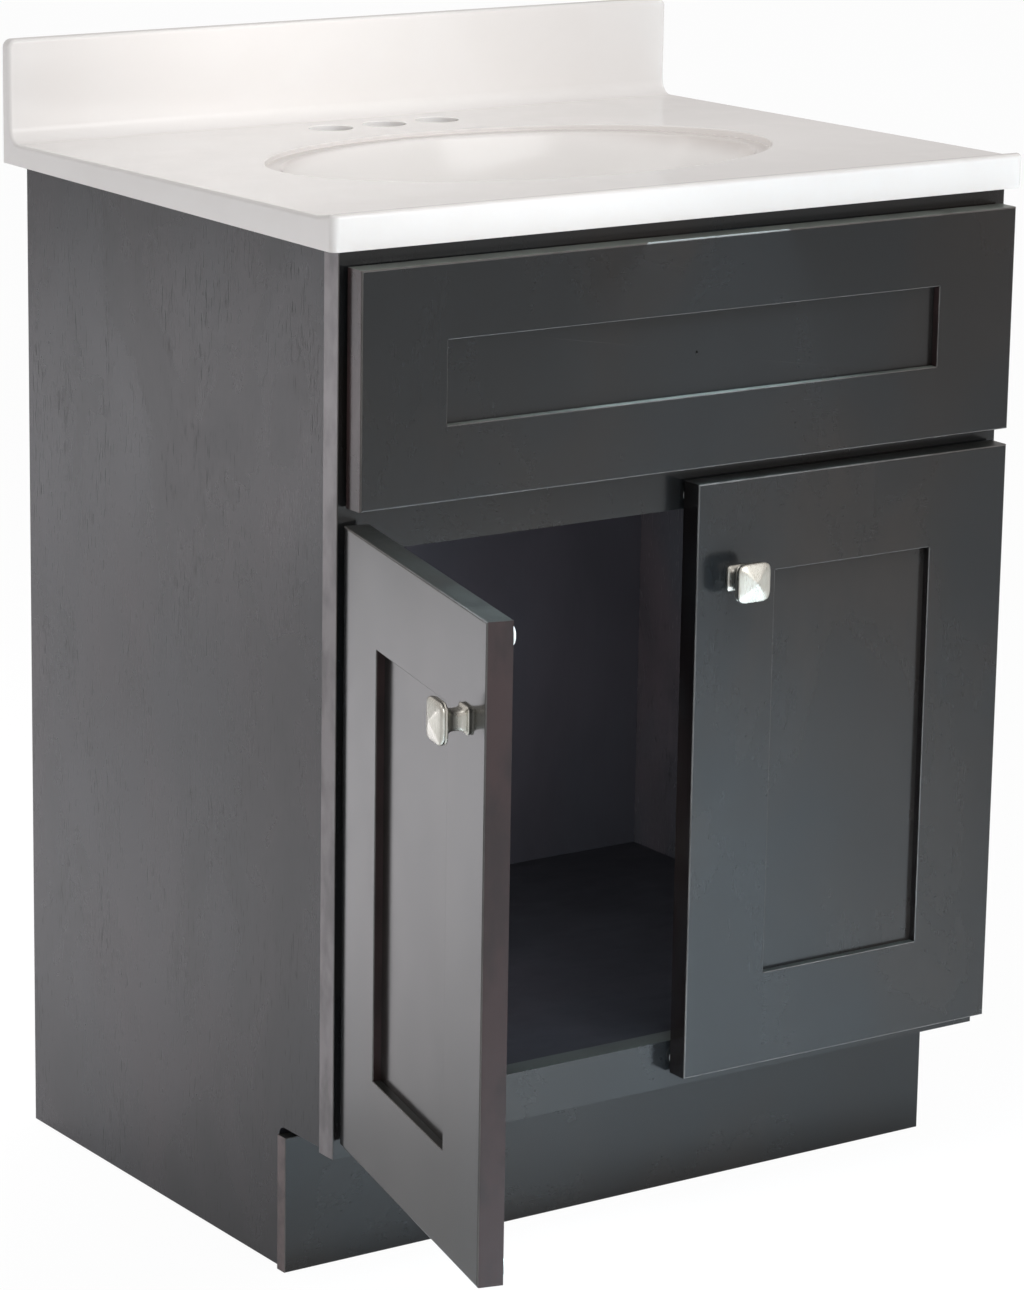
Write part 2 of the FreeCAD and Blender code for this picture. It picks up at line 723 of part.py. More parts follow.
def bowl_loft(body, kind, grow, sink):
    """A loft through the bowl's oval sections, grown outward and sunk by a wall."""
    sketches = []
    for number, (drop, share) in enumerate(BOWL_SECTIONS):
        level = "cabinet_height + bowl_step_height - %s * bowl_depth - %s" % (drop, sink)
        sketch = new_sketch(body, "XY_Plane", "%s_%d" % (kind.lower(), number), level)
        oval(sketch, "%s * (bowl_a - bowl_ledge) + %s" % (share, grow),
             "%s * (bowl_b - bowl_ledge) + %s" % (share, grow), "-bowl_setback")
        sketches.append(sketch)
    loft = body.newObject("PartDesign::%sLoft" % kind, "bowl_" + kind.lower())
    loft.Profile = sketches[0]
    loft.Sections = sketches[1:]
    return loft


def vanity_top():
    """Deck, backsplash and bowl cast in one piece, with faucet and drain holes."""
    body = new_body("vanity_top")
    profile = new_sketch(body, "YZ_Plane", "profile", "-top_half")
    outline(profile, (("top_back_overhang", "cabinet_height"), ("top_front", "cabinet_height"),
                      ("top_front", "top_edge_z"), ("top_front + lip_flat", "top_edge_z"),
                      ("top_front + lip_flat + lip_slope", "cabinet_height + deck_front_height"),
                      ("splash_front", "deck_back_z"), ("splash_front", "splash_z"),
                      ("top_back_overhang", "splash_z")))
    slab = body.newObject("PartDesign::Pad", "top_slab")
    slab.Profile = profile
    slab.setExpression("Length", bound("top_width"))
    half = value("top_half")
    front, back = value("top_front"), value("top_back_overhang")
    splash_y, deck_z = value("splash_front"), value("deck_back_z")
    splash_z, edge_z = value("splash_z"), value("top_edge_z")
    base_z = value("cabinet_height")
    round_edges(body, "splash_cove", lambda p: near(p.y, splash_y) and near(p.z, deck_z))
    round_edges(body, "top_corner", lambda p: near(abs(p.x), half) and near(p.y, front))
    round_edges(body, "splash_corner", lambda p: near(abs(p.x), half) and near(p.z, splash_z))
    seam_y = front + value("top_corner")
    seam_z = splash_z - value("splash_corner")

    def upper_edge(point):
        if point.y > back - 0.1 or point.z < base_z + 0.1:
            return False
        if near(point.y, seam_y) or near(point.z, seam_z):
            return False
        on_side = near(abs(point.x), half)
        on_front = near(point.y, front) and near(point.z, edge_z)
        on_splash = near(point.y, splash_y) and near(point.z, splash_z)
        return on_side or on_front or on_splash

    round_edges(body, "top_round", upper_edge)
    bowl_loft(body, "Additive", "bowl_wall", "bowl_wall")
    rim = new_sketch(body, "XY_Plane", "rim", "top_edge_z + top_edge_height")
    oval(rim, "bowl_a", "bowl_b", "-bowl_setback")
    step = body.newObject("PartDesign::Pocket", "bowl_step")
    step.Profile = rim
    step.setExpression("Length", bound("2 * top_edge_height - bowl_step_height"))
    step_z = value("cabinet_height + bowl_step_height")
    centre_y = value("-bowl_setback")

    def round_the_bowl(point):
        return abs(point.x) < 1 and abs(point.y - centre_y) < 1

    round_edges(body, "bowl_rim_round",
                lambda p: round_the_bowl(p) and p.z > step_z + 3, shortest=500)
    bowl_loft(body, "Subtractive", "0", "0")
    rim_length = value("3.14 * (bowl_a + bowl_b)")
    round_edges(body, "bowl_lip_round",
                lambda p: round_the_bowl(p) and near(p.z, step_z), shortest=500,
                longest=rim_length)
    low = "cabinet_height + bowl_step_height - bowl_depth"
    rod(body, "cut", "drain_radius", ("0", "-bowl_setback", low + " + bowl_wall"),
        "3 * bowl_wall", "-z")
    rod(body, "cut", "overflow_radius",
        ("0", "bowl_ledge + 2 * bowl_wall - bowl_setback - bowl_b",
         "cabinet_height + bowl_step_height - overflow_drop"),
        "2 * bowl_wall + overflow_depth", "-y")
    for number in (-1, 0, 1):
        rod(body, "cut", "faucet_radius", ("%d * faucet_spacing" % number, "-faucet_setback",
            "cabinet_height - 1"), "top_edge_height + 2", "+z")
    faucet_y = value("-faucet_setback")
    round_edges(body, "faucet_round", lambda p: abs(p.y - faucet_y) < 1 and p.z > deck_z - 3)
    return body


# ------------------------------------------------------------ the whole part

HINGE_LEVELS = ("hinge_low", "hinge_high")
FIXING_LEVELS = ("drawer_low + fixing_end", "drawer_high - fixing_end")

sheet = make_sheet()
carcass()
corner_braces()
face_frame()
drawer_front()
drawer_front_fixings()
for name, hand in HANDS:
    angle = "open_angle" if name == "left" else "0"
    door(name, hand, angle)
    hinge_cups(name, hand, angle)
    hinge_pins(name, hand, angle)
    hinge_arms(name, hand)
    hinge_screws(name, hand, angle)
    knob(name, hand, angle)
    bumpers(name, hand, angle)
vanity_top()
doc.recompute()

faults = [item.Name for item in doc.Objects if "Invalid" in item.State or "Error" in item.State]
bodies = [item for item in doc.Objects if item.TypeId == "PartDesign::Body"]
faults += [body.Label for body in bodies if body.Shape.isNull() or not body.Shape.isValid()]
if faults:
    raise RuntimeError("failed: " + ", ".join(faults))
os.makedirs("parts", exist_ok=True)
for body in bodies:
    body.Shape.exportStep("parts/%s.step" % body.Label)
print("%d sub-parts written" % len(bodies))
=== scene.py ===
# %% [markdown]
# A bathroom vanity cabinet, dressed for its picture.
# The joinery, the hinges and the cast top arrive as exact solids, and this
# file gives them their finish: dark satin lacquer on wood, glossy cast
# polymer, satin nickel and plated steel. A few small pieces, such as knobs
# and screws, are rebuilt here because their real shape is finer than the
# solids that stand for them.

# %% Load the frame
import json
import math

import bmesh
import bpy
from mathutils import Euler, Matrix, Vector


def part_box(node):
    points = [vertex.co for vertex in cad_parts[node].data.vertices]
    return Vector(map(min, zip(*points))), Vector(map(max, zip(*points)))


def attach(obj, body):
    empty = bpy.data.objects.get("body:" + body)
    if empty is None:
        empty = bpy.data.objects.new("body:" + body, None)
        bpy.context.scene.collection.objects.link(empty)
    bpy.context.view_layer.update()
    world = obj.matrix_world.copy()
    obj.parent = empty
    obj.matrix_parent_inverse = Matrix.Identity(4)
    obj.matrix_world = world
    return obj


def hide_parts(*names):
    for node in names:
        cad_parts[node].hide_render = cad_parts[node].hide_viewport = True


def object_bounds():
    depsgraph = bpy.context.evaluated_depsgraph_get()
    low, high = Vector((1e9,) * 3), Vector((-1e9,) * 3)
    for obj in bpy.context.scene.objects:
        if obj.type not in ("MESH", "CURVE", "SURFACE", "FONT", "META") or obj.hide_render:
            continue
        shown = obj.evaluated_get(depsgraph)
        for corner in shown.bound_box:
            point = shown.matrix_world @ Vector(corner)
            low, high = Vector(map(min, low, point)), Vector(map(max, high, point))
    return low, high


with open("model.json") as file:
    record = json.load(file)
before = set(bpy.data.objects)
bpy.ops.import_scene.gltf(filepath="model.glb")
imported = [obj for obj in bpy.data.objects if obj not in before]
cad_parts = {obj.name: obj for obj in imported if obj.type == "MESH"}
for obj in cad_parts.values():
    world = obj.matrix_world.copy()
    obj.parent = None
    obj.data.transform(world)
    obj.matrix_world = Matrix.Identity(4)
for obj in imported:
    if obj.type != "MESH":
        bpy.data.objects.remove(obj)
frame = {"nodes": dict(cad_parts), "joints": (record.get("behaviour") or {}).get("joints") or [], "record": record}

cad_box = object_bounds()
nodes = frame["nodes"]
joints = {joint["name"]: joint for joint in frame["joints"]}
node_body = {node: body for body, members in frame["record"]["behaviour"]["bodies"].items()
             for node in members}
node_slot = {row["node"]: row["material_slot"] for row in frame["record"]["subparts"]}
print("solids in the frame:", len(nodes), "on bodies", sorted(set(node_body.values())))

# %% [markdown]
# The left door stands open. Its hinge says where its axis is and how far it
# is from shut, so one matrix carries anything from its place on the shut
# door to its place on the open one. The grain of its boards uses the same
# turn, or the figure would run across the wood at an angle.

# %% Where things are
def turn_about(place, axis, angle):
    """A turn about a line through a place, as a matrix."""
    there = Matrix.Translation(Vector(place))
    return there @ Matrix.Rotation(angle, 4, Vector(axis)) @ there.inverted()


left_hinge = joints["left_door_hinge"]
OPEN_ANGLE = math.radians(-left_hinge["range_deg"][0])
left_door_turn = turn_about(left_hinge["pos_m"], left_hinge["axis"], OPEN_ANGLE)
mirror_x = Matrix.Scale(-1, 4, Vector((1, 0, 0)))
print("the left door is open by", round(math.degrees(OPEN_ANGLE), 1), "degrees")


def seat(piece, node):
    """Puts a finished piece on the body of the node that it replaces, and hides that node."""
    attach(piece, node_body[node])
    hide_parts(node)


# %% [markdown]
# ## Shader groups
# Real lacquered wood isn't one colour. There are cloudy patches where the
# stain took unevenly, a slow change of hue from brown to grey, fine streaks
# along the grain, and short dark pores. A group makes these four as values
# from 0 to 1, and each lacquer mixes them in its own measure. The streaks
# and pores expect the grain to run along Z. The clouds and the hue are laid
# over the whole cabinet instead, as a spray gun leaves them.

# %% Helpers for node trees
def link(tree, source, target):
    tree.links.new(source, target)


def add(tree, kind, **settings):
    """Adds a node. Settings that are sockets are set by name, the rest as attributes."""
    node = tree.nodes.new(kind)
    for key, value in settings.items():
        if key in node.inputs:
            node.inputs[key].default_value = value
        else:
            setattr(node, key, value)
    return node


def math_node(tree, operation, first, second=None, clamp=False):
    """A Math node fed by sockets or plain numbers. Returns its output."""
    node = tree.nodes.new("ShaderNodeMath")
    node.operation = operation
    node.use_clamp = clamp
    for index, value in enumerate((first, second)):
        if value is None:
            continue
        if isinstance(value, (int, float)):
            node.inputs[index].default_value = value
        else:
            link(tree, value, node.inputs[index])
    return node.outputs[0]


def new_group(name, inputs, outputs):
    """A shader group with named sockets. Returns the tree and its two end nodes."""
    tree = bpy.data.node_groups.new(name, "ShaderNodeTree")
    for socket, kind, value in inputs:
        made = tree.interface.new_socket(name=socket, in_out="INPUT", socket_type=kind)
        if value is not None:
            made.default_value = value
    for socket, kind in outputs:
        tree.interface.new_socket(name=socket, in_out="OUTPUT", socket_type=kind)
    start = tree.nodes.new("NodeGroupInput")
    end = tree.nodes.new("NodeGroupOutput")
    return tree, start, end


def stretched(tree, vector, scale):
    """The vector with its axes scaled."""
    node = add(tree, "ShaderNodeMapping", vector_type="POINT")
    node.inputs["Scale"].default_value = scale
    link(tree, vector, node.inputs["Vector"])
    return node.outputs["Vector"]


def remap(tree, value, low, high, to_low=0.0, to_high=1.0):
    """Map Range, clamped, with a smooth ramp."""
    node = add(tree, "ShaderNodeMapRange", interpolation_type="SMOOTHSTEP")
    link(tree, value, node.inputs["Value"])
    node.inputs["From Min"].default_value = low
    node.inputs["From Max"].default_value = high
    node.inputs["To Min"].default_value = to_low
    node.inputs["To Max"].default_value = to_high
    return node.outputs["Result"]


def noise(tree, vector, scale, detail=3.0, distortion=0.0):
    node = add(tree, "ShaderNodeTexNoise", Scale=scale, Detail=detail, Distortion=distortion)
    link(tree, vector, node.inputs["Vector"])
    return node.outputs["Fac"]


# %% [markdown]
# A pore shows where a fine dash and a patch that gathers the dashes together
# pass a level. The more pores a lacquer asks for, the lower this level lies.

# %% The wood's figure
CLOUD_SCALE = 9.0
CLUSTER_SHARE = 0.42
PORE_LEVEL, PORE_LEVEL_FALL = 1.30, 0.573
PORE_SHARPNESS = 14.0


def build_figure_group():
    tree, start, end = new_group(
        "wood_figure",
        [("Vector", "NodeSocketVector", None), ("Place", "NodeSocketVector", None),
         ("Pore Amount", "NodeSocketFloat", 0.5)],
        [("Cloud", "NodeSocketFloat"), ("Hue", "NodeSocketFloat"),
         ("Streak", "NodeSocketFloat"), ("Pore", "NodeSocketFloat")])
    along = start.outputs["Vector"]
    place = start.outputs["Place"]
    cloud = add(tree, "ShaderNodeTexNoise", Scale=CLOUD_SCALE, Detail=6.0, Roughness=0.62,
                Distortion=0.5)
    link(tree, stretched(tree, place, (1, 1, 0.6)), cloud.inputs["Vector"])
    link(tree, remap(tree, cloud.outputs["Fac"], 0.3, 0.7), end.inputs["Cloud"])
    hue = noise(tree, stretched(tree, place, (1, 1, 0.6)), 7.0, detail=4.0, distortion=0.3)
    link(tree, remap(tree, hue, 0.38, 0.62), end.inputs["Hue"])
    streak = noise(tree, stretched(tree, along, (1, 1, 0.06)), 420.0, detail=3.0)
    link(tree, remap(tree, streak, 0.36, 0.7), end.inputs["Streak"])
    dash = noise(tree, stretched(tree, along, (1, 1, 0.075)), 900.0, detail=1.0, distortion=0.2)
    cluster = noise(tree, stretched(tree, along, (1, 1, 0.4)), 26.0, detail=3.0)
    gathered = math_node(tree, "ADD", dash, math_node(tree, "MULTIPLY", cluster, CLUSTER_SHARE))
    fall = math_node(tree, "MULTIPLY", start.outputs["Pore Amount"], PORE_LEVEL_FALL)
    level = math_node(tree, "SUBTRACT", PORE_LEVEL, fall)
    over = math_node(tree, "SUBTRACT", gathered, level)
    link(tree, math_node(tree, "MULTIPLY", over, PORE_SHARPNESS, clamp=True), end.inputs["Pore"])
    return tree


figure_group = build_figure_group()
print("wood figure:", len(figure_group.nodes), "shader nodes")


# %% [markdown]
# Stain and lacquer sit thinner on some of a board's narrow faces, so the
# wood's own colour shows through a little there. Other tones on these places
# are painted light and shade: faces that look up are lighter as if lit from
# above, some sides carry a painted sheen or painted shade, and the rounded
# arrises carry a painted highlight along with some wear. The normal tells
# where these are. On a board that is cut square it points straight along an
# axis, and on a round it lies between two of them. The group gives four
# masks: the faces that look up, the faces that look sideways, the rounds, and
# the faces that look back at the wall. Some noise breaks up the first three.

# %% Narrow faces and arrises
# How far the normal has to lie along an axis before a face counts as facing that way.
FACING = (0.6, 0.95)


def build_edge_group():
    tree, start, end = new_group(
        "thin_places",
        [("Vector", "NodeSocketVector", None), ("Normal", "NodeSocketVector", None)],
        [("Top", "NodeSocketFloat"), ("Side", "NodeSocketFloat"), ("Arris", "NodeSocketFloat"),
         ("Rear", "NodeSocketFloat")])
    parts = add(tree, "ShaderNodeSeparateXYZ")
    link(tree, start.outputs["Normal"], parts.inputs[0])
    sizes = [math_node(tree, "ABSOLUTE", parts.outputs[axis]) for axis in range(3)]
    largest = math_node(tree, "MAXIMUM", math_node(tree, "MAXIMUM", sizes[0], sizes[1]), sizes[2])
    patch = noise(tree, stretched(tree, start.outputs["Vector"], (1, 1, 0.5)), 42.0, detail=4.0)
    broken_up = remap(tree, patch, 0.3, 0.62, 0.55, 1.0)
    top = remap(tree, parts.outputs[2], *FACING)
    side = remap(tree, sizes[0], *FACING)
    arris = remap(tree, largest, 0.99, 0.88)
    for mask, name in ((top, "Top"), (side, "Side"), (arris, "Arris")):
        link(tree, math_node(tree, "MULTIPLY", mask, broken_up), end.inputs[name])
    link(tree, remap(tree, parts.outputs[1], *FACING), end.inputs["Rear"])
    return tree


edge_group = build_edge_group()
print("thin places:", len(edge_group.nodes), "shader nodes")


# %% [markdown]
# Sprayed lacquer and gel coat both dry with a faint orange-peel skin. It is
# too shallow to see as a shape, but it softens the reflections, so it goes
# into the bump of every coated surface.

# %% Orange peel
def build_peel_group():
    tree, start, end = new_group(
        "spray_skin",
        [("Vector", "NodeSocketVector", None), ("Size", "NodeSocketFloat", 260.0)],
        [("Height", "NodeSocketFloat")])
    peel = add(tree, "ShaderNodeTexNoise", Detail=2.0)
    link(tree, start.outputs["Vector"], peel.inputs["Vector"])
    link(tree, start.outputs["Size"], peel.inputs["Scale"])
    slow = noise(tree, start.outputs["Vector"], 30.0, detail=1.0)
    height = math_node(tree, "ADD", math_node(tree, "MULTIPLY", peel.outputs["Fac"], 0.3), slow)
    link(tree, height, end.inputs["Height"])
    return tree


peel_group = build_peel_group()
print("spray skin:", len(peel_group.nodes), "shader nodes")

# %% [markdown]
# ## Lacquered wood
# One function makes every lacquer. Its figure is laid along the board by a
# Mapping node, because stiles and panels run upright and rails run across.
# The surface is nearly black, so most of what shows is the sheen: a dark
# base with a satin roughness that the clouds and streaks vary a little.

# %% Helpers for materials
UPRIGHT = (0, 0, 0)
ACROSS = (0, math.radians(90), 0)


def mixed(tree, mask, first, second):
    """A colour mix. Each side is a socket or a plain colour."""
    node = add(tree, "ShaderNodeMix", data_type="RGBA")
    link(tree, mask, node.inputs[0])
    for socket, value in ((node.inputs[6], first), (node.inputs[7], second)):
        if isinstance(value, tuple):
            socket.default_value = value + (1,)
        else:
            link(tree, value, socket)
    return node.outputs[2]


def grouped(tree, group, vector, **values):
    """A group node fed by a vector. In a value's name, an underscore stands for a space."""
    node = add(tree, "ShaderNodeGroup", node_tree=group)
    link(tree, vector, node.inputs["Vector"])
    for key, value in values.items():
        node.inputs[key.replace("_", " ")].default_value = value
    return node


def shut(tree, socket, kind, on_left_door):
    """A place or a normal, turned back with the left door to where it shuts."""
    if not on_left_door:
        return socket
    back = left_door_turn.inverted()
    node = add(tree, "ShaderNodeMapping", vector_type=kind)
    node.inputs["Rotation"].default_value = back.to_euler()
    if kind == "POINT":
        node.inputs["Location"].default_value = back.to_translation()
    link(tree, socket, node.inputs["Vector"])
    return node.outputs["Vector"]


def shut_place(tree, on_left_door):
    """Object coordinates, with the left door turned shut."""
    return shut(tree, add(tree, "ShaderNodeTexCoord").outputs["Object"], "POINT", on_left_door)


def board_vector(tree, spot, grain, shift):
    """The place turned so that the board's grain runs along Z."""
    lay = add(tree, "ShaderNodeMapping", vector_type="POINT")
    lay.inputs["Rotation"].default_value = grain
    lay.inputs["Location"].default_value = shift
    link(tree, spot, lay.inputs["Vector"])
    return lay.outputs["Vector"]


def new_material(name):
    """A material with its tree and its surface node."""
    material = bpy.data.materials.new(name)
    material.use_nodes = True
    tree = material.node_tree
    return material, tree, tree.nodes["Principled BSDF"]


def bumped(tree, surface, height, strength, distance):
    """Turns a height into the surface's bump."""
    bump = add(tree, "ShaderNodeBump", Strength=strength, Distance=distance)
    link(tree, height, bump.inputs["Height"])
    link(tree, bump.outputs["Normal"], surface.inputs["Normal"])


# %% [markdown]
# The lacquer's colour is built in layers: the stain's hue, the clouds and the
# streaks that darken it, the thin places where the wood shows, the painted
# light and shade on narrow faces and the painted highlight on the arrises, and
# the pores on top. The pores are a little rougher and lie a little lower than
# the rest.

# %% The lacquer
PORE_COLOUR = (0.005, 0.005, 0.005)
PORE_COVER = 0.7
DARK_SHARE = 0.5  # the tone of clouds and streaks, as a share of the grey
LACQUER_IOR = 1.44


def lacquer(name, brown, grey, rough, grain, on_left_door, shift, pores, cloud_depth,
            streak_depth, thin, top_tone, side_tone, rear_tone):
    """Dark satin lacquer over stained wood. A rear tone of None leaves the back as it is."""
    material, tree, surface = new_material(name)
    place = shut_place(tree, on_left_door)
    spot = board_vector(tree, place, grain, shift)
    figure = grouped(tree, figure_group, spot, Pore_Amount=pores)
    link(tree, place, figure.inputs["Place"])
    thin_and_lit = grouped(tree, edge_group, spot)
    facing = add(tree, "ShaderNodeTexCoord").outputs["Normal"]
    link(tree, shut(tree, facing, "VECTOR", on_left_door), thin_and_lit.inputs["Normal"])
    skin = grouped(tree, peel_group, spot)
    hue = mixed(tree, figure.outputs["Hue"], brown, grey)
    dark = tuple(DARK_SHARE * channel for channel in grey)
    clouds = math_node(tree, "MULTIPLY", figure.outputs["Cloud"], cloud_depth)
    colour = mixed(tree, clouds, hue, dark)
    streaks = math_node(tree, "MULTIPLY", figure.outputs["Streak"], streak_depth)
    colour = mixed(tree, streaks, colour, dark)
    # Top and side tones are partly thin stain and partly painted light and shade; the arris tone is a painted
    # highlight with some wear.
    for mask, tone in (("Top", top_tone), ("Side", side_tone), ("Arris", ARRIS_WEAR_AND_HIGHLIGHT)):
        share = math_node(tree, "MULTIPLY", thin_and_lit.outputs[mask], thin)
        colour = mixed(tree, share, colour, tone)
    if rear_tone:
        colour = mixed(tree, thin_and_lit.outputs["Rear"], colour, rear_tone)
    pore = figure.outputs["Pore"]
    colour = mixed(tree, math_node(tree, "MULTIPLY", pore, PORE_COVER), colour, PORE_COLOUR)
    link(tree, colour, surface.inputs["Base Color"])
    uneven = math_node(tree, "MULTIPLY", figure.outputs["Cloud"], 0.06)
    for mask, rougher in ((pore, 0.15), (thin_and_lit.outputs["Top"], 0.2)):
        uneven = math_node(tree, "ADD", uneven, math_node(tree, "MULTIPLY", mask, rougher))
    link(tree, math_node(tree, "ADD", uneven, rough), surface.inputs["Roughness"])
    relief = math_node(tree, "SUBTRACT", skin.outputs["Height"],
                       math_node(tree, "MULTIPLY", pore, 0.3))
    bumped(tree, surface, relief, 0.25, 0.0002)
    surface.inputs["IOR"].default_value = LACQUER_IOR
    return material


# %% [markdown]
# The doors and the drawer front are the darkest and the glossiest. The case
# is a little lighter, and shows its pores. The inside boards have a thin,
# dull coat, and the bottom panel is darker still, as painted shade. Each kind
# of narrow face has its own tone: some of it is thin stain, the lighter tops
# and the face frame's lighter side are painted light, and the right door's
# dark sides are painted shade.

# %% The boards' tones
FRONT_BROWN = (0.0185, 0.0150, 0.0132)
FRONT_GREY = (0.0130, 0.0140, 0.0150)
CASE_BROWN = (0.034, 0.028, 0.032)
CASE_GREY = (0.027, 0.028, 0.033)
INSIDE_BROWN = (0.028, 0.0268, 0.033)
INSIDE_GREY = (0.026, 0.027, 0.0335)
# Painted shade: the bottom panel is darker than the other inside boards, as shade on the cabinet's floor.
BOTTOM_SHADE_SHARE = 0.38  # the bottom panel's tone, as a share of the other inside boards'
REAR = (0.060, 0.052, 0.056)
# Painted light: faces that look up are lighter, as if lit from above, the drawer's most and the doors' a little.
DRAWER_LIT_TOP = (0.150, 0.165, 0.150)
DOOR_LIT_TOP = (0.026, 0.028, 0.026)
EDGE_SIDE = (0.040, 0.024, 0.024)
# Painted shade: the right door's narrow sides, its recess walls among them, are darker than its face.
RIGHT_DOOR_SHADED_SIDE = (0.008, 0.006, 0.006)
# Painted sheen: the face frame's side face is made much lighter than its wood.
STILE_SIDE_SHEEN = (0.210, 0.190, 0.196)
TOE_SIDE = (0.120, 0.088, 0.088)
# Partly wear on the rounded arrises, partly a painted highlight along them.
ARRIS_WEAR_AND_HIGHLIGHT = (0.110, 0.102, 0.097)
FRONT_ROUGH, CASE_ROUGH, INSIDE_ROUGH = 0.15, 0.24, 0.5


def board_grain(node):
    """Rails, the toe board and the drawer front's panel run across; the rest upright."""
    across = "rail" in node or node in ("toe_board", "drawer_front_panel", "bottom_panel")
    return ACROSS if across else UPRIGHT


def board_side(node):
    """The tone of a board's narrow sides: painted shade on the right door, a painted sheen on the face frame, thin
    stain on the rest.
    """
    if node == "toe_board":
        return TOE_SIDE
    if "face_frame" in node:
        return STILE_SIDE_SHEEN
    return RIGHT_DOOR_SHADED_SIDE if "right_door" in node else EDGE_SIDE


def dress_boards():
    """Gives every board its own lacquer, cut from its own place in the figure."""
    wood_slots = ("lacquered_case", "lacquered_front", "lacquered_panel", "dark_interior")
    boards = [node for node in sorted(nodes) if node_slot[node] in wood_slots]
    for number, node in enumerate(boards):
        inside = node_slot[node] == "dark_interior"
        case = node_slot[node] == "lacquered_case"
        brown, grey, rough = FRONT_BROWN, FRONT_GREY, FRONT_ROUGH
        if inside:
            share = BOTTOM_SHADE_SHARE if node == "bottom_panel" else 1.0
            brown, grey = (tuple(share * tone for tone in colour)
                           for colour in (INSIDE_BROWN, INSIDE_GREY))
            rough = INSIDE_ROUGH
        if case:
            brown, grey, rough = CASE_BROWN, CASE_GREY, CASE_ROUGH
        made = lacquer(
            node + "_lacquer", brown, grey, rough,
            grain=board_grain(node), on_left_door=node_body[node] == "left_door",
            shift=(0.37 * number, 0.61 * number, 0.23 * number),
            pores=0.75 if case else 0.0, cloud_depth=0.8 if case else 0.5,
            streak_depth=0.22 if case else 0.06,
            thin=0.0 if case or inside else 1.0,
            top_tone=DRAWER_LIT_TOP if "drawer" in node else DOOR_LIT_TOP,
            side_tone=board_side(node), rear_tone=REAR if node == "back_panel" else None)
        nodes[node].data.materials.clear()
        nodes[node].data.materials.append(made)
    print("boards dressed:", len(boards))


dress_boards()

# %% [markdown]
# ## The cast top
# Its solid arrives as loose flat triangles, which would show as facets in a
# gloss this deep. A copy with its corners merged and its faces shaded by
# area is smooth where the casting is, and still crisp at its real edges.

# %% Smooth copies of solids
MERGE_WITHIN = 1e-6
CRISP_ANGLE = math.radians(40)


def loose_object(name, mesh):
    made = bpy.data.objects.new(name, mesh)
    bpy.context.scene.collection.objects.link(made)
    return made


def smooth_copy(node):
    """A copy of a node's mesh, merged, and shaded smooth up to the crisp angle."""
    mesh = nodes[node].data.copy()
    work = bmesh.new()
    work.from_mesh(mesh)
    bmesh.ops.remove_doubles(work, verts=work.verts, dist=MERGE_WITHIN)
    work.to_mesh(mesh)
    work.free()
    mesh.materials.clear()
    if "custom_normal" in mesh.attributes:
        mesh.attributes.remove(mesh.attributes["custom_normal"])
    mesh.shade_smooth()
    mesh.set_sharp_from_angle(angle=CRISP_ANGLE)
    piece = loose_object(node + "_finished", mesh)
    weigh = piece.modifiers.new("weigh", "WEIGHTED_NORMAL")
    weigh.keep_sharp = True
    weigh.weight = 80
    return piece


# %% [markdown]
# The ledge round the bowl is painted a little greyer and the bowl within it a
# little darker, both as painted shade. They are found by their distance from
# the bowl's centre, counted in half lengths and half breadths of the bowl, so
# the rim lies at 1.

# %% The gel coat
BOWL_CENTRE_Y = -0.241
BOWL_HALF_LENGTH, BOWL_HALF_BREADTH = 0.218, 0.140
GEL_COAT, GEL_COAT_CLOUD = (0.872, 0.845, 0.828), (0.860, 0.830, 0.811)
# Painted shade on the ledge round the bowl.
LEDGE_SHADE = (0.68, 0.635, 0.61)
# Painted shade inside the bowl.
BOWL_SHADE = (0.800, 0.775, 0.756)


def bowl_masks(tree, spot):
    """Two masks: the ledge round the bowl, fading out on both sides, and all within it."""
    lay = add(tree, "ShaderNodeMapping", vector_type="POINT")
    lay.inputs["Location"].default_value = (0, -BOWL_CENTRE_Y / BOWL_HALF_BREADTH, 0)
    lay.inputs["Scale"].default_value = (1 / BOWL_HALF_LENGTH, 1 / BOWL_HALF_BREADTH, 0)
    link(tree, spot, lay.inputs["Vector"])
    reach = add(tree, "ShaderNodeVectorMath", operation="LENGTH")
    link(tree, lay.outputs["Vector"], reach.inputs[0])
    reach = reach.outputs["Value"]
    inside = remap(tree, reach, 1.012, 0.985)
    outside = remap(tree, reach, 0.90, 0.94)
    return math_node(tree, "MULTIPLY", inside, outside), remap(tree, reach, 0.94, 0.88)


def cast_polymer():
    """Glossy gel coat over a cast body: warm white with faint clouding, and painted shade on the ledge round the
    bowl and inside it.
    """
    material, tree, surface = new_material("gel_coat")
    spot = add(tree, "ShaderNodeTexCoord").outputs["Object"]
    skin = grouped(tree, peel_group, spot, Size=90.0)
    cloud = noise(tree, spot, 7.0, detail=4.0, distortion=1.2)
    colour = mixed(tree, remap(tree, cloud, 0.35, 0.65), GEL_COAT, GEL_COAT_CLOUD)
    ledge, within = bowl_masks(tree, spot)
    # Painted shade: the ledge and the bowl within it are darkened.
    colour = mixed(tree, ledge, colour, LEDGE_SHADE)
    colour = mixed(tree, within, colour, BOWL_SHADE)
    link(tree, colour, surface.inputs["Base Color"])
    rough = remap(tree, noise(tree, spot, 18.0), 0.3, 0.7, 0.10, 0.16)
    link(tree, rough, surface.inputs["Roughness"])
    bumped(tree, surface, skin.outputs["Height"], 0.04, 0.0004)
    surface.inputs["IOR"].default_value = 1.5
    return material


top = smooth_copy("vanity_top")
top.data.materials.append(cast_polymer())
seat(top, "vanity_top")
print("cast top:", len(top.data.polygons), "faces")

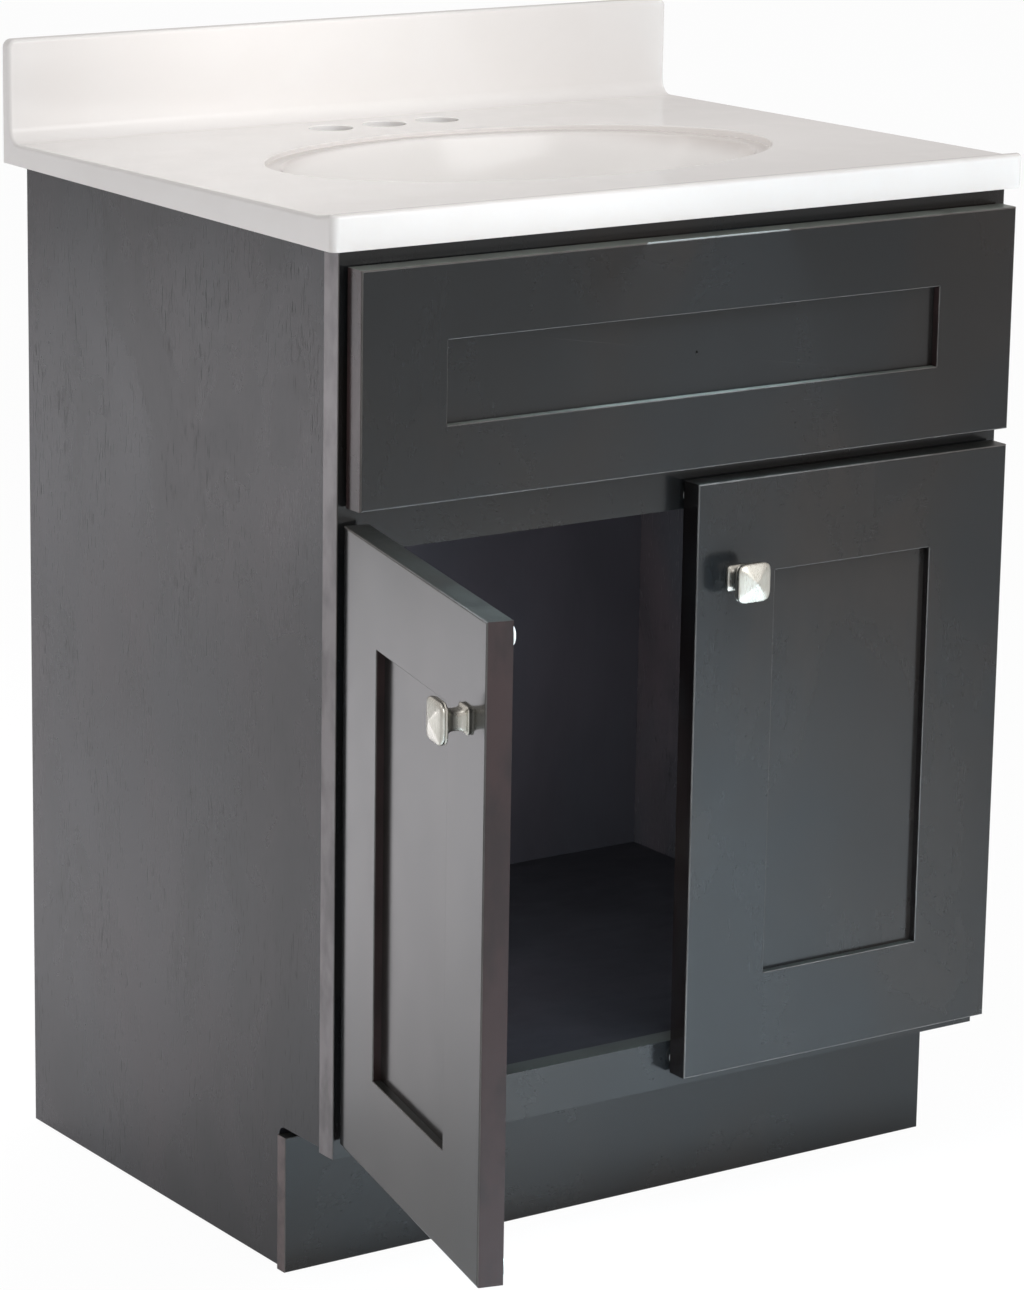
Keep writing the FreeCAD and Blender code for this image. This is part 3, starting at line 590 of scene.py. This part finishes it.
# %% [markdown]
# ## Metals
# Satin nickel is polished, then brushed very finely, so it is bright but its
# reflections are soft. The hinges are plated steel, a little sharper.

# %% Metal and plastic finishes
def brushed_metal(name, colour, rough, stretch):
    """Fine brushing, drawn out along the axes where the stretch is small."""
    material, tree, surface = new_material(name)
    spot = add(tree, "ShaderNodeTexCoord").outputs["Object"]
    brush = noise(tree, stretched(tree, spot, stretch), 900.0, detail=2.0)
    tarnish = noise(tree, spot, 60.0, detail=3.0)
    dull = tuple(0.86 * channel for channel in colour)
    link(tree, mixed(tree, remap(tree, tarnish, 0.35, 0.7), colour, dull),
         surface.inputs["Base Color"])
    link(tree, remap(tree, brush, 0.3, 0.7, rough - 0.05, rough + 0.06),
         surface.inputs["Roughness"])
    bumped(tree, surface, brush, 0.12, 0.00005)
    surface.inputs["Metallic"].default_value = 1.0
    return material


def moulded_plastic(name, colour, rough):
    """Plain plastic with the skin of its mould."""
    material, tree, surface = new_material(name)
    spot = add(tree, "ShaderNodeTexCoord").outputs["Object"]
    skin = grouped(tree, peel_group, spot, Size=1400.0)
    dull = tuple(0.9 * channel for channel in colour)
    link(tree, mixed(tree, noise(tree, spot, 300.0), colour, dull), surface.inputs["Base Color"])
    bumped(tree, surface, skin.outputs["Height"], 0.2, 0.0001)
    surface.inputs["Roughness"].default_value = rough
    return material


def bare_softwood():
    """Unfinished wood for the corner blocks, which no one sees."""
    material, tree, surface = new_material("bare_softwood")
    place = shut_place(tree, False)
    spot = board_vector(tree, place, ACROSS, (0, 0, 0))
    figure = grouped(tree, figure_group, spot, Pore_Amount=0.3)
    link(tree, place, figure.inputs["Place"])
    colour = mixed(tree, figure.outputs["Streak"], (0.46, 0.31, 0.18), (0.36, 0.22, 0.12))
    colour = mixed(tree, figure.outputs["Pore"], colour, (0.2, 0.12, 0.06))
    link(tree, colour, surface.inputs["Base Color"])
    link(tree, remap(tree, figure.outputs["Cloud"], 0, 1, 0.6, 0.75), surface.inputs["Roughness"])
    return material


slot_finish = {
    "satin_nickel": brushed_metal("satin_nickel", (0.66, 0.65, 0.59), 0.28, (1, 1, 0.05)),
    "plated_steel": brushed_metal("plated_steel", (0.66, 0.66, 0.64), 0.2, (1, 1, 0.1)),
    "screw_steel": brushed_metal("screw_steel", (0.6, 0.6, 0.57), 0.3, (1, 0.2, 1)),
    "white_bumper": moulded_plastic("bumper_plastic", (0.8, 0.8, 0.78), 0.45),
    "grey_spacer": moulded_plastic("spacer_plastic", (0.05, 0.05, 0.05), 0.5),
    "block_wood": bare_softwood(),
}
dressed = [node for node in nodes if node_slot[node] in slot_finish]
for node in dressed:
    nodes[node].data.materials.clear()
    nodes[node].data.materials.append(slot_finish[node_slot[node]])
print("hardware and blocks dressed:", len(dressed))

# %% [markdown]
# ## Knobs
# Each knob is one casting. Every section across it is a square with rounded
# corners, and the corners tighten towards the tip, so the four facets meet
# in soft ridges. A closed stack of such sections makes the whole shape.

# %% The knob's sections
right_knob_low, right_knob_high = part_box("right_knob")
KNOB_OUT = right_knob_high.y - right_knob_low.y
KNOB_HALF = (right_knob_high.x - right_knob_low.x) / 2
KNOB_SEAT = Vector(((right_knob_low.x + right_knob_high.x) / 2, right_knob_high.y,
                    (right_knob_low.z + right_knob_high.z) / 2))
# Each row: distance out, half width, and squareness, as shares of the knob's size.
KNOB_ROWS = (
    (0.000, 0.630, 7.0), (0.050, 0.655, 7.0), (0.072, 0.655, 7.0), (0.090, 0.620, 6.5),
    (0.115, 0.560, 5.5), (0.160, 0.510, 4.6), (0.230, 0.480, 4.2), (0.330, 0.470, 4.0),
    (0.430, 0.480, 4.0), (0.510, 0.510, 4.0), (0.570, 0.580, 4.2), (0.615, 0.720, 4.4),
    (0.645, 0.870, 4.5), (0.665, 0.945, 4.6), (0.685, 0.980, 4.6), (0.702, 0.985, 4.6),
    (0.720, 0.958, 4.6), (0.732, 0.952, 4.6), (0.745, 0.980, 4.7), (0.765, 1.000, 4.8),
    (0.815, 1.000, 4.8), (0.842, 0.988, 4.9), (0.860, 0.958, 5.2), (0.876, 0.900, 5.6),
    (0.908, 0.700, 7.0), (0.940, 0.480, 9.0), (0.970, 0.260, 12.0), (0.991, 0.095, 14.0),
    (1.000, 0.012, 14.0))
KNOB_AROUND = 96
KNOB_CRISP_ANGLE = math.radians(55)


def square_round(angle, squareness):
    """A point on a unit square whose corners are rounded: the higher, the squarer."""
    x, y = math.cos(angle), math.sin(angle)
    reach = (abs(x) ** squareness + abs(y) ** squareness) ** (1 / squareness)
    return x / reach, y / reach


def stacked_mesh(name, sections):
    """A closed shape through sections, each with the same number of points."""
    work = bmesh.new()
    rings = [[work.verts.new(point) for point in section] for section in sections]
    around = len(rings[0])
    for lower, upper in zip(rings, rings[1:]):
        for step in range(around):
            after = (step + 1) % around
            work.faces.new((lower[step], lower[after], upper[after], upper[step]))
    work.faces.new(list(reversed(rings[0])))
    work.faces.new(rings[-1])
    bmesh.ops.recalc_face_normals(work, faces=work.faces)
    mesh = bpy.data.meshes.new(name)
    work.to_mesh(mesh)
    work.free()
    return mesh


def knob_mesh():
    sections = []
    for out, half, squareness in KNOB_ROWS:
        corners = (square_round(2 * math.pi * (step + 0.5) / KNOB_AROUND, squareness)
                   for step in range(KNOB_AROUND))
        sections.append([(x * half * KNOB_HALF, -out * KNOB_OUT, z * half * KNOB_HALF)
                         for x, z in corners])
    mesh = stacked_mesh("knob", sections)
    mesh.shade_smooth()
    mesh.set_sharp_from_angle(angle=KNOB_CRISP_ANGLE)
    return mesh


def placed(mesh, name, matrix):
    """A copy of a mesh with its place in its points, as an object at the origin."""
    own = mesh.copy()
    own.transform(matrix)
    if matrix.determinant() < 0:
        own.flip_normals()
    return loose_object(name, own)


shut_right_knob = Matrix.Translation(KNOB_SEAT)
shut_left_knob = mirror_x @ shut_right_knob
for node, where in (("right_knob", shut_right_knob),
                    ("left_knob", left_door_turn @ shut_left_knob)):
    piece = placed(knob_mesh(), node + "_casting", where)
    piece.data.materials.append(slot_finish["satin_nickel"])
    seat(piece, node)
print("knob:", round(KNOB_OUT * 1000, 1), "mm out,", round(KNOB_HALF * 2000, 1), "mm across")

# %% [markdown]
# ## Screws and bumpers
# The solids say where each screw goes, how long it is and how wide its head
# is. Their meshes come apart into one island for each screw, so the script
# reads the places from them. The left door's islands are first turned shut,
# and the finished screws are turned back with the same matrix.

# %% Reading places from the solids
def island_boxes(node):
    """The lowest and highest corners of each separate solid in a node, with its door shut."""
    work = bmesh.new()
    work.from_mesh(nodes[node].data)
    bmesh.ops.remove_doubles(work, verts=work.verts, dist=MERGE_WITHIN)
    if node_body[node] == "left_door":
        work.transform(left_door_turn.inverted())
    waiting = set(work.verts)
    boxes = []
    while waiting:
        found = [waiting.pop()]
        for vert in found:
            for edge in vert.link_edges:
                other = edge.other_vert(vert)
                if other in waiting:
                    waiting.discard(other)
                    found.append(other)
        axes = list(zip(*(vert.co for vert in found)))
        boxes.append((Vector([min(axis) for axis in axes]), Vector([max(axis) for axis in axes])))
    work.free()
    return sorted(boxes, key=lambda box: tuple(box[0]))


# %% [markdown]
# A pan head with a cross recess is a turned shape with a tapered cross cut
# out of it. The cross is cut once, at unit size, and Geometry Nodes then
# scale the head, add the shank with a real spiral thread, and set the whole
# screw on each place with its own chance turn of the cross.

# %% The screw head
HEAD_ROWS = ((0.0, 0.2), (0.0, 0.5), (0.05, 0.5), (0.13, 0.485), (0.21, 0.44), (0.27, 0.36),
             (0.305, 0.26), (0.32, 0.13))
TURNED_AROUND = 40
CROSS_REACH, CROSS_WIDTH, CROSS_DEPTH = 0.27, 0.055, 0.22
CROSS_TAPER = 0.45  # the cross's reach at its foot, as a share of that at its mouth
CROSS_ABOVE = 0.1  # how far the cutter stands out of the head
HEAD_CRISP_ANGLE = math.radians(35)


def turned_mesh(name, rows):
    """A closed shape turned about Z, from rows of height and radius."""
    angles = [2 * math.pi * step / TURNED_AROUND for step in range(TURNED_AROUND)]
    return stacked_mesh(name, [
        [(radius * math.cos(angle), radius * math.sin(angle), height) for angle in angles]
        for height, radius in rows])


def finished_mesh(item, name):
    """The mesh that an object's modifiers make, as a plain mesh."""
    bpy.context.view_layer.update()
    graph = bpy.context.evaluated_depsgraph_get()
    mesh = bpy.data.meshes.new_from_object(item.evaluated_get(graph))
    mesh.name = name
    return mesh


def cross_head():
    """A pan head of unit width, with a tapered cross recess in its top."""
    head = loose_object("head_blank", turned_mesh("head_blank", HEAD_ROWS))
    work = bmesh.new()
    for wide, long in ((CROSS_WIDTH, CROSS_REACH), (CROSS_REACH, CROSS_WIDTH)):
        made = bmesh.ops.create_cube(work, size=2.0)
        for vert in made["verts"]:
            lower = vert.co.z < 0
            taper = CROSS_TAPER if lower else 1.0
            vert.co = Vector((vert.co.x * wide * (taper if wide > long else 1),
                              vert.co.y * long * (taper if long > wide else 1),
                              HEAD_ROWS[-1][0] + (-CROSS_DEPTH if lower else CROSS_ABOVE)))
    mesh = bpy.data.meshes.new("cross")
    work.to_mesh(mesh)
    work.free()
    cutter = loose_object("cross", mesh)
    cut = head.modifiers.new("cut", "BOOLEAN")
    cut.operation = "DIFFERENCE"
    cut.solver = "EXACT"
    cut.use_self = True
    cut.object = cutter
    made = finished_mesh(head, "cross_head")
    made.shade_smooth()
    made.set_sharp_from_angle(angle=HEAD_CRISP_ANGLE)
    bpy.data.objects.remove(head)
    bpy.data.objects.remove(cutter)
    return made


head_mesh = cross_head()
print("screw head:", len(head_mesh.polygons), "faces")


# %% [markdown]
# The tree below has its sizes as named inputs. Its points come from the
# object that it is put on: one vertex for each screw. The thread is a curve
# with a three-sided section, wound round a plain core.

# %% The screw tree
CORE_SHARE, THREAD_RUN, THREAD_SIZE = 0.36, 0.38, 0.11  # radii, as shares of the shank's width
THREADED_SHARE, THREAD_END = 0.86, 0.93  # as shares of the shank's length
TURN_SEED = 7


def gn_tree(name, inputs):
    """A Geometry Nodes tree with named sockets. Returns the tree and its two end nodes."""
    tree = bpy.data.node_groups.new(name, "GeometryNodeTree")
    tree.interface.new_socket(name="Geometry", in_out="INPUT", socket_type="NodeSocketGeometry")
    for socket, kind in inputs:
        tree.interface.new_socket(name=socket, in_out="INPUT", socket_type=kind)
    tree.interface.new_socket(name="Geometry", in_out="OUTPUT", socket_type="NodeSocketGeometry")
    return tree, tree.nodes.new("NodeGroupInput"), tree.nodes.new("NodeGroupOutput")


def moved(tree, geometry, **channels):
    """The geometry through a Transform node. Each channel is fed by a vector socket."""
    node = add(tree, "GeometryNodeTransform")
    link(tree, geometry, node.inputs["Geometry"])
    for channel, vector in channels.items():
        link(tree, vector, node.inputs[channel])
    return node.outputs["Geometry"]


def made_real(tree, instances, material, end):
    """Turns instances into plain geometry with its material, and hands it out."""
    real = add(tree, "GeometryNodeRealizeInstances")
    link(tree, instances, real.inputs["Geometry"])
    coated = add(tree, "GeometryNodeSetMaterial")
    link(tree, real.outputs["Geometry"], coated.inputs["Geometry"])
    link(tree, material, coated.inputs["Material"])
    link(tree, coated.outputs["Geometry"], end.inputs["Geometry"])


def vector_of(tree, x=None, y=None, z=None):
    """A vector from the sockets given. What isn't given is 0."""
    node = add(tree, "ShaderNodeCombineXYZ")
    for index, value in enumerate((x, y, z)):
        if value is not None:
            link(tree, value, node.inputs[index])
    return node.outputs[0]


def build_screw_tree():
    tree, start, end = gn_tree("set_screws", [
        ("Head", "NodeSocketObject"), ("Head Width", "NodeSocketFloat"),
        ("Shank Width", "NodeSocketFloat"), ("Length", "NodeSocketFloat"),
        ("Pitch", "NodeSocketFloat"), ("Turn", "NodeSocketRotation"),
        ("Material", "NodeSocketMaterial")])
    given = start.outputs
    head = add(tree, "GeometryNodeObjectInfo")
    link(tree, given["Head"], head.inputs["Object"])
    width, shank, length = given["Head Width"], given["Shank Width"], given["Length"]
    sized = moved(tree, head.outputs["Geometry"], Scale=vector_of(tree, width, width, width))
    core = add(tree, "GeometryNodeMeshCylinder", Vertices=24)
    link(tree, math_node(tree, "MULTIPLY", shank, CORE_SHARE), core.inputs["Radius"])
    link(tree, length, core.inputs["Depth"])
    lowered = moved(tree, core.outputs["Mesh"], Translation=vector_of(
        tree, z=math_node(tree, "MULTIPLY", length, -0.5)))
    spiral = add(tree, "GeometryNodeCurveSpiral", Resolution=20)
    turns = math_node(tree, "DIVIDE", length, given["Pitch"])
    link(tree, math_node(tree, "MULTIPLY", turns, THREADED_SHARE), spiral.inputs["Rotations"])
    run = math_node(tree, "MULTIPLY", shank, THREAD_RUN)
    link(tree, run, spiral.inputs["Start Radius"])
    link(tree, run, spiral.inputs["End Radius"])
    link(tree, math_node(tree, "MULTIPLY", length, THREADED_SHARE), spiral.inputs["Height"])
    ridge = add(tree, "GeometryNodeCurvePrimitiveCircle", mode="RADIUS", Resolution=3)
    link(tree, math_node(tree, "MULTIPLY", shank, THREAD_SIZE), ridge.inputs["Radius"])
    thread = add(tree, "GeometryNodeCurveToMesh")
    thread.inputs["Fill Caps"].default_value = True
    link(tree, spiral.outputs["Curve"], thread.inputs["Curve"])
    link(tree, ridge.outputs["Curve"], thread.inputs["Profile Curve"])
    sunk = moved(tree, thread.outputs["Mesh"], Translation=vector_of(
        tree, z=math_node(tree, "MULTIPLY", length, -THREAD_END)))
    joined = add(tree, "GeometryNodeJoinGeometry")
    for part in (sized, lowered, sunk):
        link(tree, part, joined.inputs["Geometry"])
    chance = add(tree, "FunctionNodeRandomValue", data_type="FLOAT")
    chance.inputs["Seed"].default_value = TURN_SEED
    # The node keeps a Max and a Value socket for each kind of number. These are the floats.
    most = next(socket for socket in chance.inputs
                if socket.name == "Max" and socket.type == "VALUE")
    most.default_value = math.pi
    turned = next(socket for socket in chance.outputs if socket.type == "VALUE")
    spin = add(tree, "FunctionNodeEulerToRotation")
    link(tree, vector_of(tree, z=turned), spin.inputs["Euler"])
    aim = add(tree, "FunctionNodeRotateRotation", rotation_space="LOCAL")
    link(tree, given["Turn"], aim.inputs["Rotation"])
    link(tree, spin.outputs["Rotation"], aim.inputs["Rotate By"])
    spread = add(tree, "GeometryNodeInstanceOnPoints")
    link(tree, given["Geometry"], spread.inputs["Points"])
    link(tree, joined.outputs["Geometry"], spread.inputs["Instance"])
    link(tree, aim.outputs["Rotation"], spread.inputs["Rotation"])
    made_real(tree, spread.outputs["Instances"], given["Material"], end)
    return tree


screw_tree = build_screw_tree()
print("screw tree:", len(screw_tree.nodes), "geometry nodes")


def grow(tree, places, name, values):
    """Puts a tree on an object of loose points and returns the plain mesh that it makes."""
    points = bpy.data.meshes.new(name + "_places")
    points.from_pydata([tuple(place) for place in places], [], [])
    carrier = loose_object(name + "_carrier", points)
    modifier = carrier.modifiers.new("grow", "NODES")
    modifier.node_group = tree
    keys = {item.name: item.identifier for item in tree.interface.items_tree
            if item.item_type == "SOCKET" and item.in_out == "INPUT"}
    for label, value in values.items():
        modifier[keys[label]] = value
    mesh = finished_mesh(carrier, name)
    bpy.data.objects.remove(carrier)
    return mesh


# %% [markdown]
# Each family of screws differs in the way it points and in how much of its
# length the head takes. The heads sit on the side that a screwdriver
# reaches: behind the drawer front and the doors, and inside the frame. Each
# row below gives the way the heads point, the shank's width and the pitch.

# %% Setting the screws
head_object = loose_object("head_pattern", head_mesh)
HEAD_SHARE = HEAD_ROWS[-1][0]
HEADS_BACK = Euler((math.radians(-90), 0, 0))
HEADS_RIGHT = Euler((0, math.radians(90), 0))
HEADS_LEFT = Euler((0, math.radians(-90), 0))
screw_sets = {
    "drawer_front_screws": (HEADS_BACK, 0.0042, 0.0016),
    "left_hinge_door_screws": (HEADS_BACK, 0.0035, 0.0012),
    "right_hinge_door_screws": (HEADS_BACK, 0.0035, 0.0012),
    "left_hinge_frame_screws": (HEADS_RIGHT, 0.0035, 0.0012),
    "right_hinge_frame_screws": (HEADS_LEFT, 0.0035, 0.0012),
    "left_knob_screw": (HEADS_BACK, 0.0042, 0.0008),
    "right_knob_screw": (HEADS_BACK, 0.0042, 0.0008),
}


def set_screws(node, turn, shank, pitch):
    """Replaces a node's plain cylinders by threaded screws of the same size."""
    pointing = turn.to_matrix() @ Vector((0, 0, 1))
    along = max(range(3), key=lambda axis: abs(pointing[axis]))
    places = []
    for low, high in island_boxes(node):
        middle, half = (low + high) / 2, (high - low) / 2
        width = 2 * half[(along + 1) % 3]
        length = 2 * half[along]
        tip = middle + pointing * half[along]
        places.append(tip - pointing * width * HEAD_SHARE)
    mesh = grow(screw_tree, places, node + "_threaded", {
        "Head": head_object, "Head Width": width, "Shank Width": shank,
        "Length": length - width * HEAD_SHARE, "Pitch": pitch, "Turn": turn,
        "Material": slot_finish["screw_steel"]})
    if node_body[node] == "left_door":
        mesh.transform(left_door_turn)
    piece = loose_object(node + "_threaded", mesh)
    seat(piece, node)
    print(node, "->", len(places), "screws,", len(mesh.polygons), "faces")


for node, (turn, shank, pitch) in screw_sets.items():
    set_screws(node, turn, shank, pitch)
bpy.data.objects.remove(head_object)


# %% [markdown]
# Soft bumpers keep the doors from knocking. Each is a little dome with a
# flat foot that is stuck to the back of the door.

# %% Bumpers
DOME_ROWS = ((0.0, 0.40), (0.0, 0.5), (0.35, 0.5), (0.58, 0.488), (0.76, 0.455), (0.88, 0.40),
             (0.96, 0.31), (0.99, 0.2), (1.0, 0.06))


def build_dome_tree():
    tree, start, end = gn_tree("set_domes", [
        ("Dome", "NodeSocketObject"), ("Width", "NodeSocketFloat"),
        ("Height", "NodeSocketFloat"), ("Turn", "NodeSocketRotation"),
        ("Material", "NodeSocketMaterial")])
    given = start.outputs
    dome = add(tree, "GeometryNodeObjectInfo")
    link(tree, given["Dome"], dome.inputs["Object"])
    spread = add(tree, "GeometryNodeInstanceOnPoints")
    link(tree, given["Geometry"], spread.inputs["Points"])
    link(tree, dome.outputs["Geometry"], spread.inputs["Instance"])
    link(tree, given["Turn"], spread.inputs["Rotation"])
    link(tree, vector_of(tree, given["Width"], given["Width"], given["Height"]),
         spread.inputs["Scale"])
    made_real(tree, spread.outputs["Instances"], given["Material"], end)
    return tree


dome_tree = build_dome_tree()
dome_mesh = turned_mesh("dome", DOME_ROWS)
dome_mesh.shade_smooth()
dome_object = loose_object("dome_pattern", dome_mesh)
for node in ("left_door_bumpers", "right_door_bumpers"):
    boxes = island_boxes(node)
    places = [Vector(((low.x + high.x) / 2, low.y, (low.z + high.z) / 2)) for low, high in boxes]
    low, high = boxes[0]
    mesh = grow(dome_tree, places, node + "_domes", {
        "Dome": dome_object, "Width": high.x - low.x, "Height": high.y - low.y,
        "Turn": HEADS_BACK, "Material": slot_finish["white_bumper"]})
    if node_body[node] == "left_door":
        mesh.transform(left_door_turn)
    seat(loose_object(node + "_domes", mesh), node)
    print(node, "->", len(places), "domes")
bpy.data.objects.remove(dome_object)

# %% [markdown]
# ## Floor, light and camera
# The floor is pale and plain. To the lens it shows as near white. Polished
# surfaces see it as it is lit, with a little glow added, and it still takes
# the cabinet's soft shadow.

# %% Floor
FLOOR_HALF = 40.0
FLOOR_BELOW = 0.0004  # keeps the floor just clear of the feet
SHOWN_WHITE = 0.96
MIRRORED_GLOW = 0.25


def pale_floor():
    material, tree, surface = new_material("pale_floor")
    tree.nodes.remove(surface)
    out = tree.nodes["Material Output"]
    matte = add(tree, "ShaderNodeBsdfDiffuse", Color=(0.86, 0.86, 0.86, 1))
    glow = add(tree, "ShaderNodeEmission", Color=(1, 1, 1, 1), Strength=1.0)
    ray = add(tree, "ShaderNodeLightPath")
    straight = math_node(tree, "MULTIPLY", ray.outputs["Is Camera Ray"], SHOWN_WHITE)
    bounced = math_node(tree, "MAXIMUM", ray.outputs["Is Glossy Ray"],
                        ray.outputs["Is Transmission Ray"])
    share = math_node(tree, "MAXIMUM", straight,
                      math_node(tree, "MULTIPLY", bounced, MIRRORED_GLOW))
    mix = add(tree, "ShaderNodeMixShader")
    link(tree, share, mix.inputs["Fac"])
    link(tree, matte.outputs["BSDF"], mix.inputs[1])
    link(tree, glow.outputs["Emission"], mix.inputs[2])
    link(tree, mix.outputs["Shader"], out.inputs["Surface"])
    return material


floor_mesh = bpy.data.meshes.new("floor")
floor_mesh.from_pydata(
    [(x * FLOOR_HALF, y * FLOOR_HALF, -FLOOR_BELOW)
     for x, y in ((-1, -1), (1, -1), (1, 1), (-1, 1))],
    [], [(0, 1, 2, 3)])
floor_mesh.materials.append(pale_floor())
floor = loose_object("floor", floor_mesh)
print("floor:", 2 * FLOOR_HALF, "m square")

# %% [markdown]
# The world is white to the lens, dimmer as a light, and in between in a
# mirror, where it is also a little warmer.

# %% World
AMBIENT = 0.48
MIRRORED = 0.65
WHITE, WARM_WHITE = (1.0, 1.0, 1.0), (1.0, 0.95, 0.93)

world = bpy.data.worlds.new("studio")
bpy.context.scene.world = world
world.use_nodes = True
sky = world.node_tree
sky.nodes.clear()
ray = add(sky, "ShaderNodeLightPath")
shown = math_node(sky, "MAXIMUM", ray.outputs["Is Camera Ray"], ray.outputs["Is Transmission Ray"])
mirrored = math_node(sky, "MULTIPLY", ray.outputs["Is Glossy Ray"], MIRRORED)
strength = math_node(sky, "MAXIMUM", math_node(sky, "MAXIMUM", shown, mirrored), AMBIENT)
back = add(sky, "ShaderNodeBackground")
link(sky, mixed(sky, ray.outputs["Is Glossy Ray"], WHITE, WARM_WHITE), back.inputs["Color"])
link(sky, strength, back.inputs["Strength"])
out = add(sky, "ShaderNodeOutputWorld")
link(sky, back.outputs["Background"], out.inputs["Surface"])
print("world: ambient", AMBIENT)

# %% [markdown]
# Satin lacquer is nearly a mirror, and the cabinet stands on a pale floor. So
# most of what the boards show is the floor, and the floor is what has to be
# lit. Three low lamps look straight down at it: one in front of the doors,
# one behind the left side, and one far behind. The key, the front lamp and
# the one overhead light the top. Three weak lamps fill the backsplash, the
# bowl and the inside of the cabinet, as the photographer's flags and cards
# would. Some of the lamps would show in the top or the metal as bright
# squares, so they aren't mirrored.

# %% Lamps
COOL = (0.71, 0.88, 1.0)
WARM = (0.985, 0.955, 1.0)


def softbox(name, place, aim, size, watts, colour=(1, 1, 1), spread=180, long=None, turn=0,
            mirrored=True):
    """A square or oblong area lamp that looks at a point. The turn is about its own axis."""
    data = bpy.data.lights.new(name, "AREA")
    data.shape = "RECTANGLE"
    data.size = size
    data.size_y = long or size
    data.energy = watts
    data.color = colour
    data.spread = math.radians(spread)
    lamp = bpy.data.objects.new(name, data)
    lamp.visible_camera = False
    lamp.visible_glossy = mirrored
    look = (Vector(aim) - Vector(place)).to_track_quat("-Z", "Y")
    spin = Matrix.Rotation(math.radians(turn), 4, "Z")
    lamp.matrix_world = Matrix.Translation(Vector(place)) @ look.to_matrix().to_4x4() @ spin
    bpy.context.scene.collection.objects.link(lamp)


def pool(name, x, y, height, size, watts, colour, spread, long=None, turn=0, mirrored=True):
    """A lamp that looks straight down at the floor."""
    softbox(name, (x, y, height), (x, y, 0), size, watts, colour, spread, long, turn, mirrored)


middle = (Vector(cad_box[0]) + Vector(cad_box[1])) / 2
softbox("key", (2.5, -2.7, 3.4), middle, 1.2, 31.5, mirrored=False)
softbox("overhead", (-1.5, -0.9, 3.7), middle, 2.2, 10)
softbox("splash_fill", (-0.3, -1.0, 1.06), (-0.07, 0, 0.98), 0.3, 0.205, spread=33,
        mirrored=False)
softbox("bowl_fill", (-0.5, -0.3, 1.25), (0.21, -0.24, 0.79), 0.2, 0.043, spread=22,
        mirrored=False)
softbox("inside_fill", (-0.17, -0.34, 0.47), (0.22, -0.02, 0.17), 0.12, 2.2, spread=145,
        mirrored=False)
softbox("front", (1.2, -4.3, 2.0), middle, 2.4, 45)
pool("front_pool", 0.30, -1.33, 0.78, 0.6, 18, COOL, 100, 1.8, 34.5, mirrored=False)
pool("back_pool", -0.46, 1.04, 0.78, 1.0, 14.7, WARM, 120, 2.0)
pool("far_pool", -2.4, 2.5, 0.9, 2.1, 42, WARM, 120)
print("lamps:", len(bpy.data.lights))

# %% [markdown]
# The camera looks at a point from a distance, with its angles and its roll
# as the photograph's perspective gives them. A long lens from far away keeps
# the cabinet's uprights nearly parallel.

# %% Camera
CAMERA_AZIMUTH = math.radians(-34.40)
CAMERA_HEIGHT_ANGLE = math.radians(14.267)
CAMERA_ROLL = math.radians(0.926)
CAMERA_DISTANCE = 3.505
CAMERA_LENS = 133.4
SENSOR_WIDTH = 36.0
FARTHEST_SEEN = 200
AIM = Vector((-0.1663, -0.480, 0.4915))

away = Vector((math.sin(CAMERA_AZIMUTH) * math.cos(CAMERA_HEIGHT_ANGLE),
               -math.cos(CAMERA_AZIMUTH) * math.cos(CAMERA_HEIGHT_ANGLE),
               math.sin(CAMERA_HEIGHT_ANGLE)))
lens = bpy.data.cameras.new("camera")
lens.lens = CAMERA_LENS
lens.sensor_width = SENSOR_WIDTH
lens.sensor_fit = "AUTO"
lens.clip_end = FARTHEST_SEEN
camera = loose_object("camera", lens)
right = (-away).cross(Vector((0, 0, 1))).normalized()
up = right.cross(-away)
level = Matrix((right, up, away)).transposed()
rolled = level @ Matrix.Rotation(CAMERA_ROLL, 3, "Z")
camera.matrix_world = Matrix.Translation(AIM + away * CAMERA_DISTANCE) @ rolled.to_4x4()
bpy.context.scene.camera = camera
bpy.context.scene.view_settings.view_transform = "Standard"
print("camera:", CAMERA_DISTANCE, "m away")

# %% [markdown]
# The view layer is updated once more.

# %% Last update
bpy.context.view_layer.update()
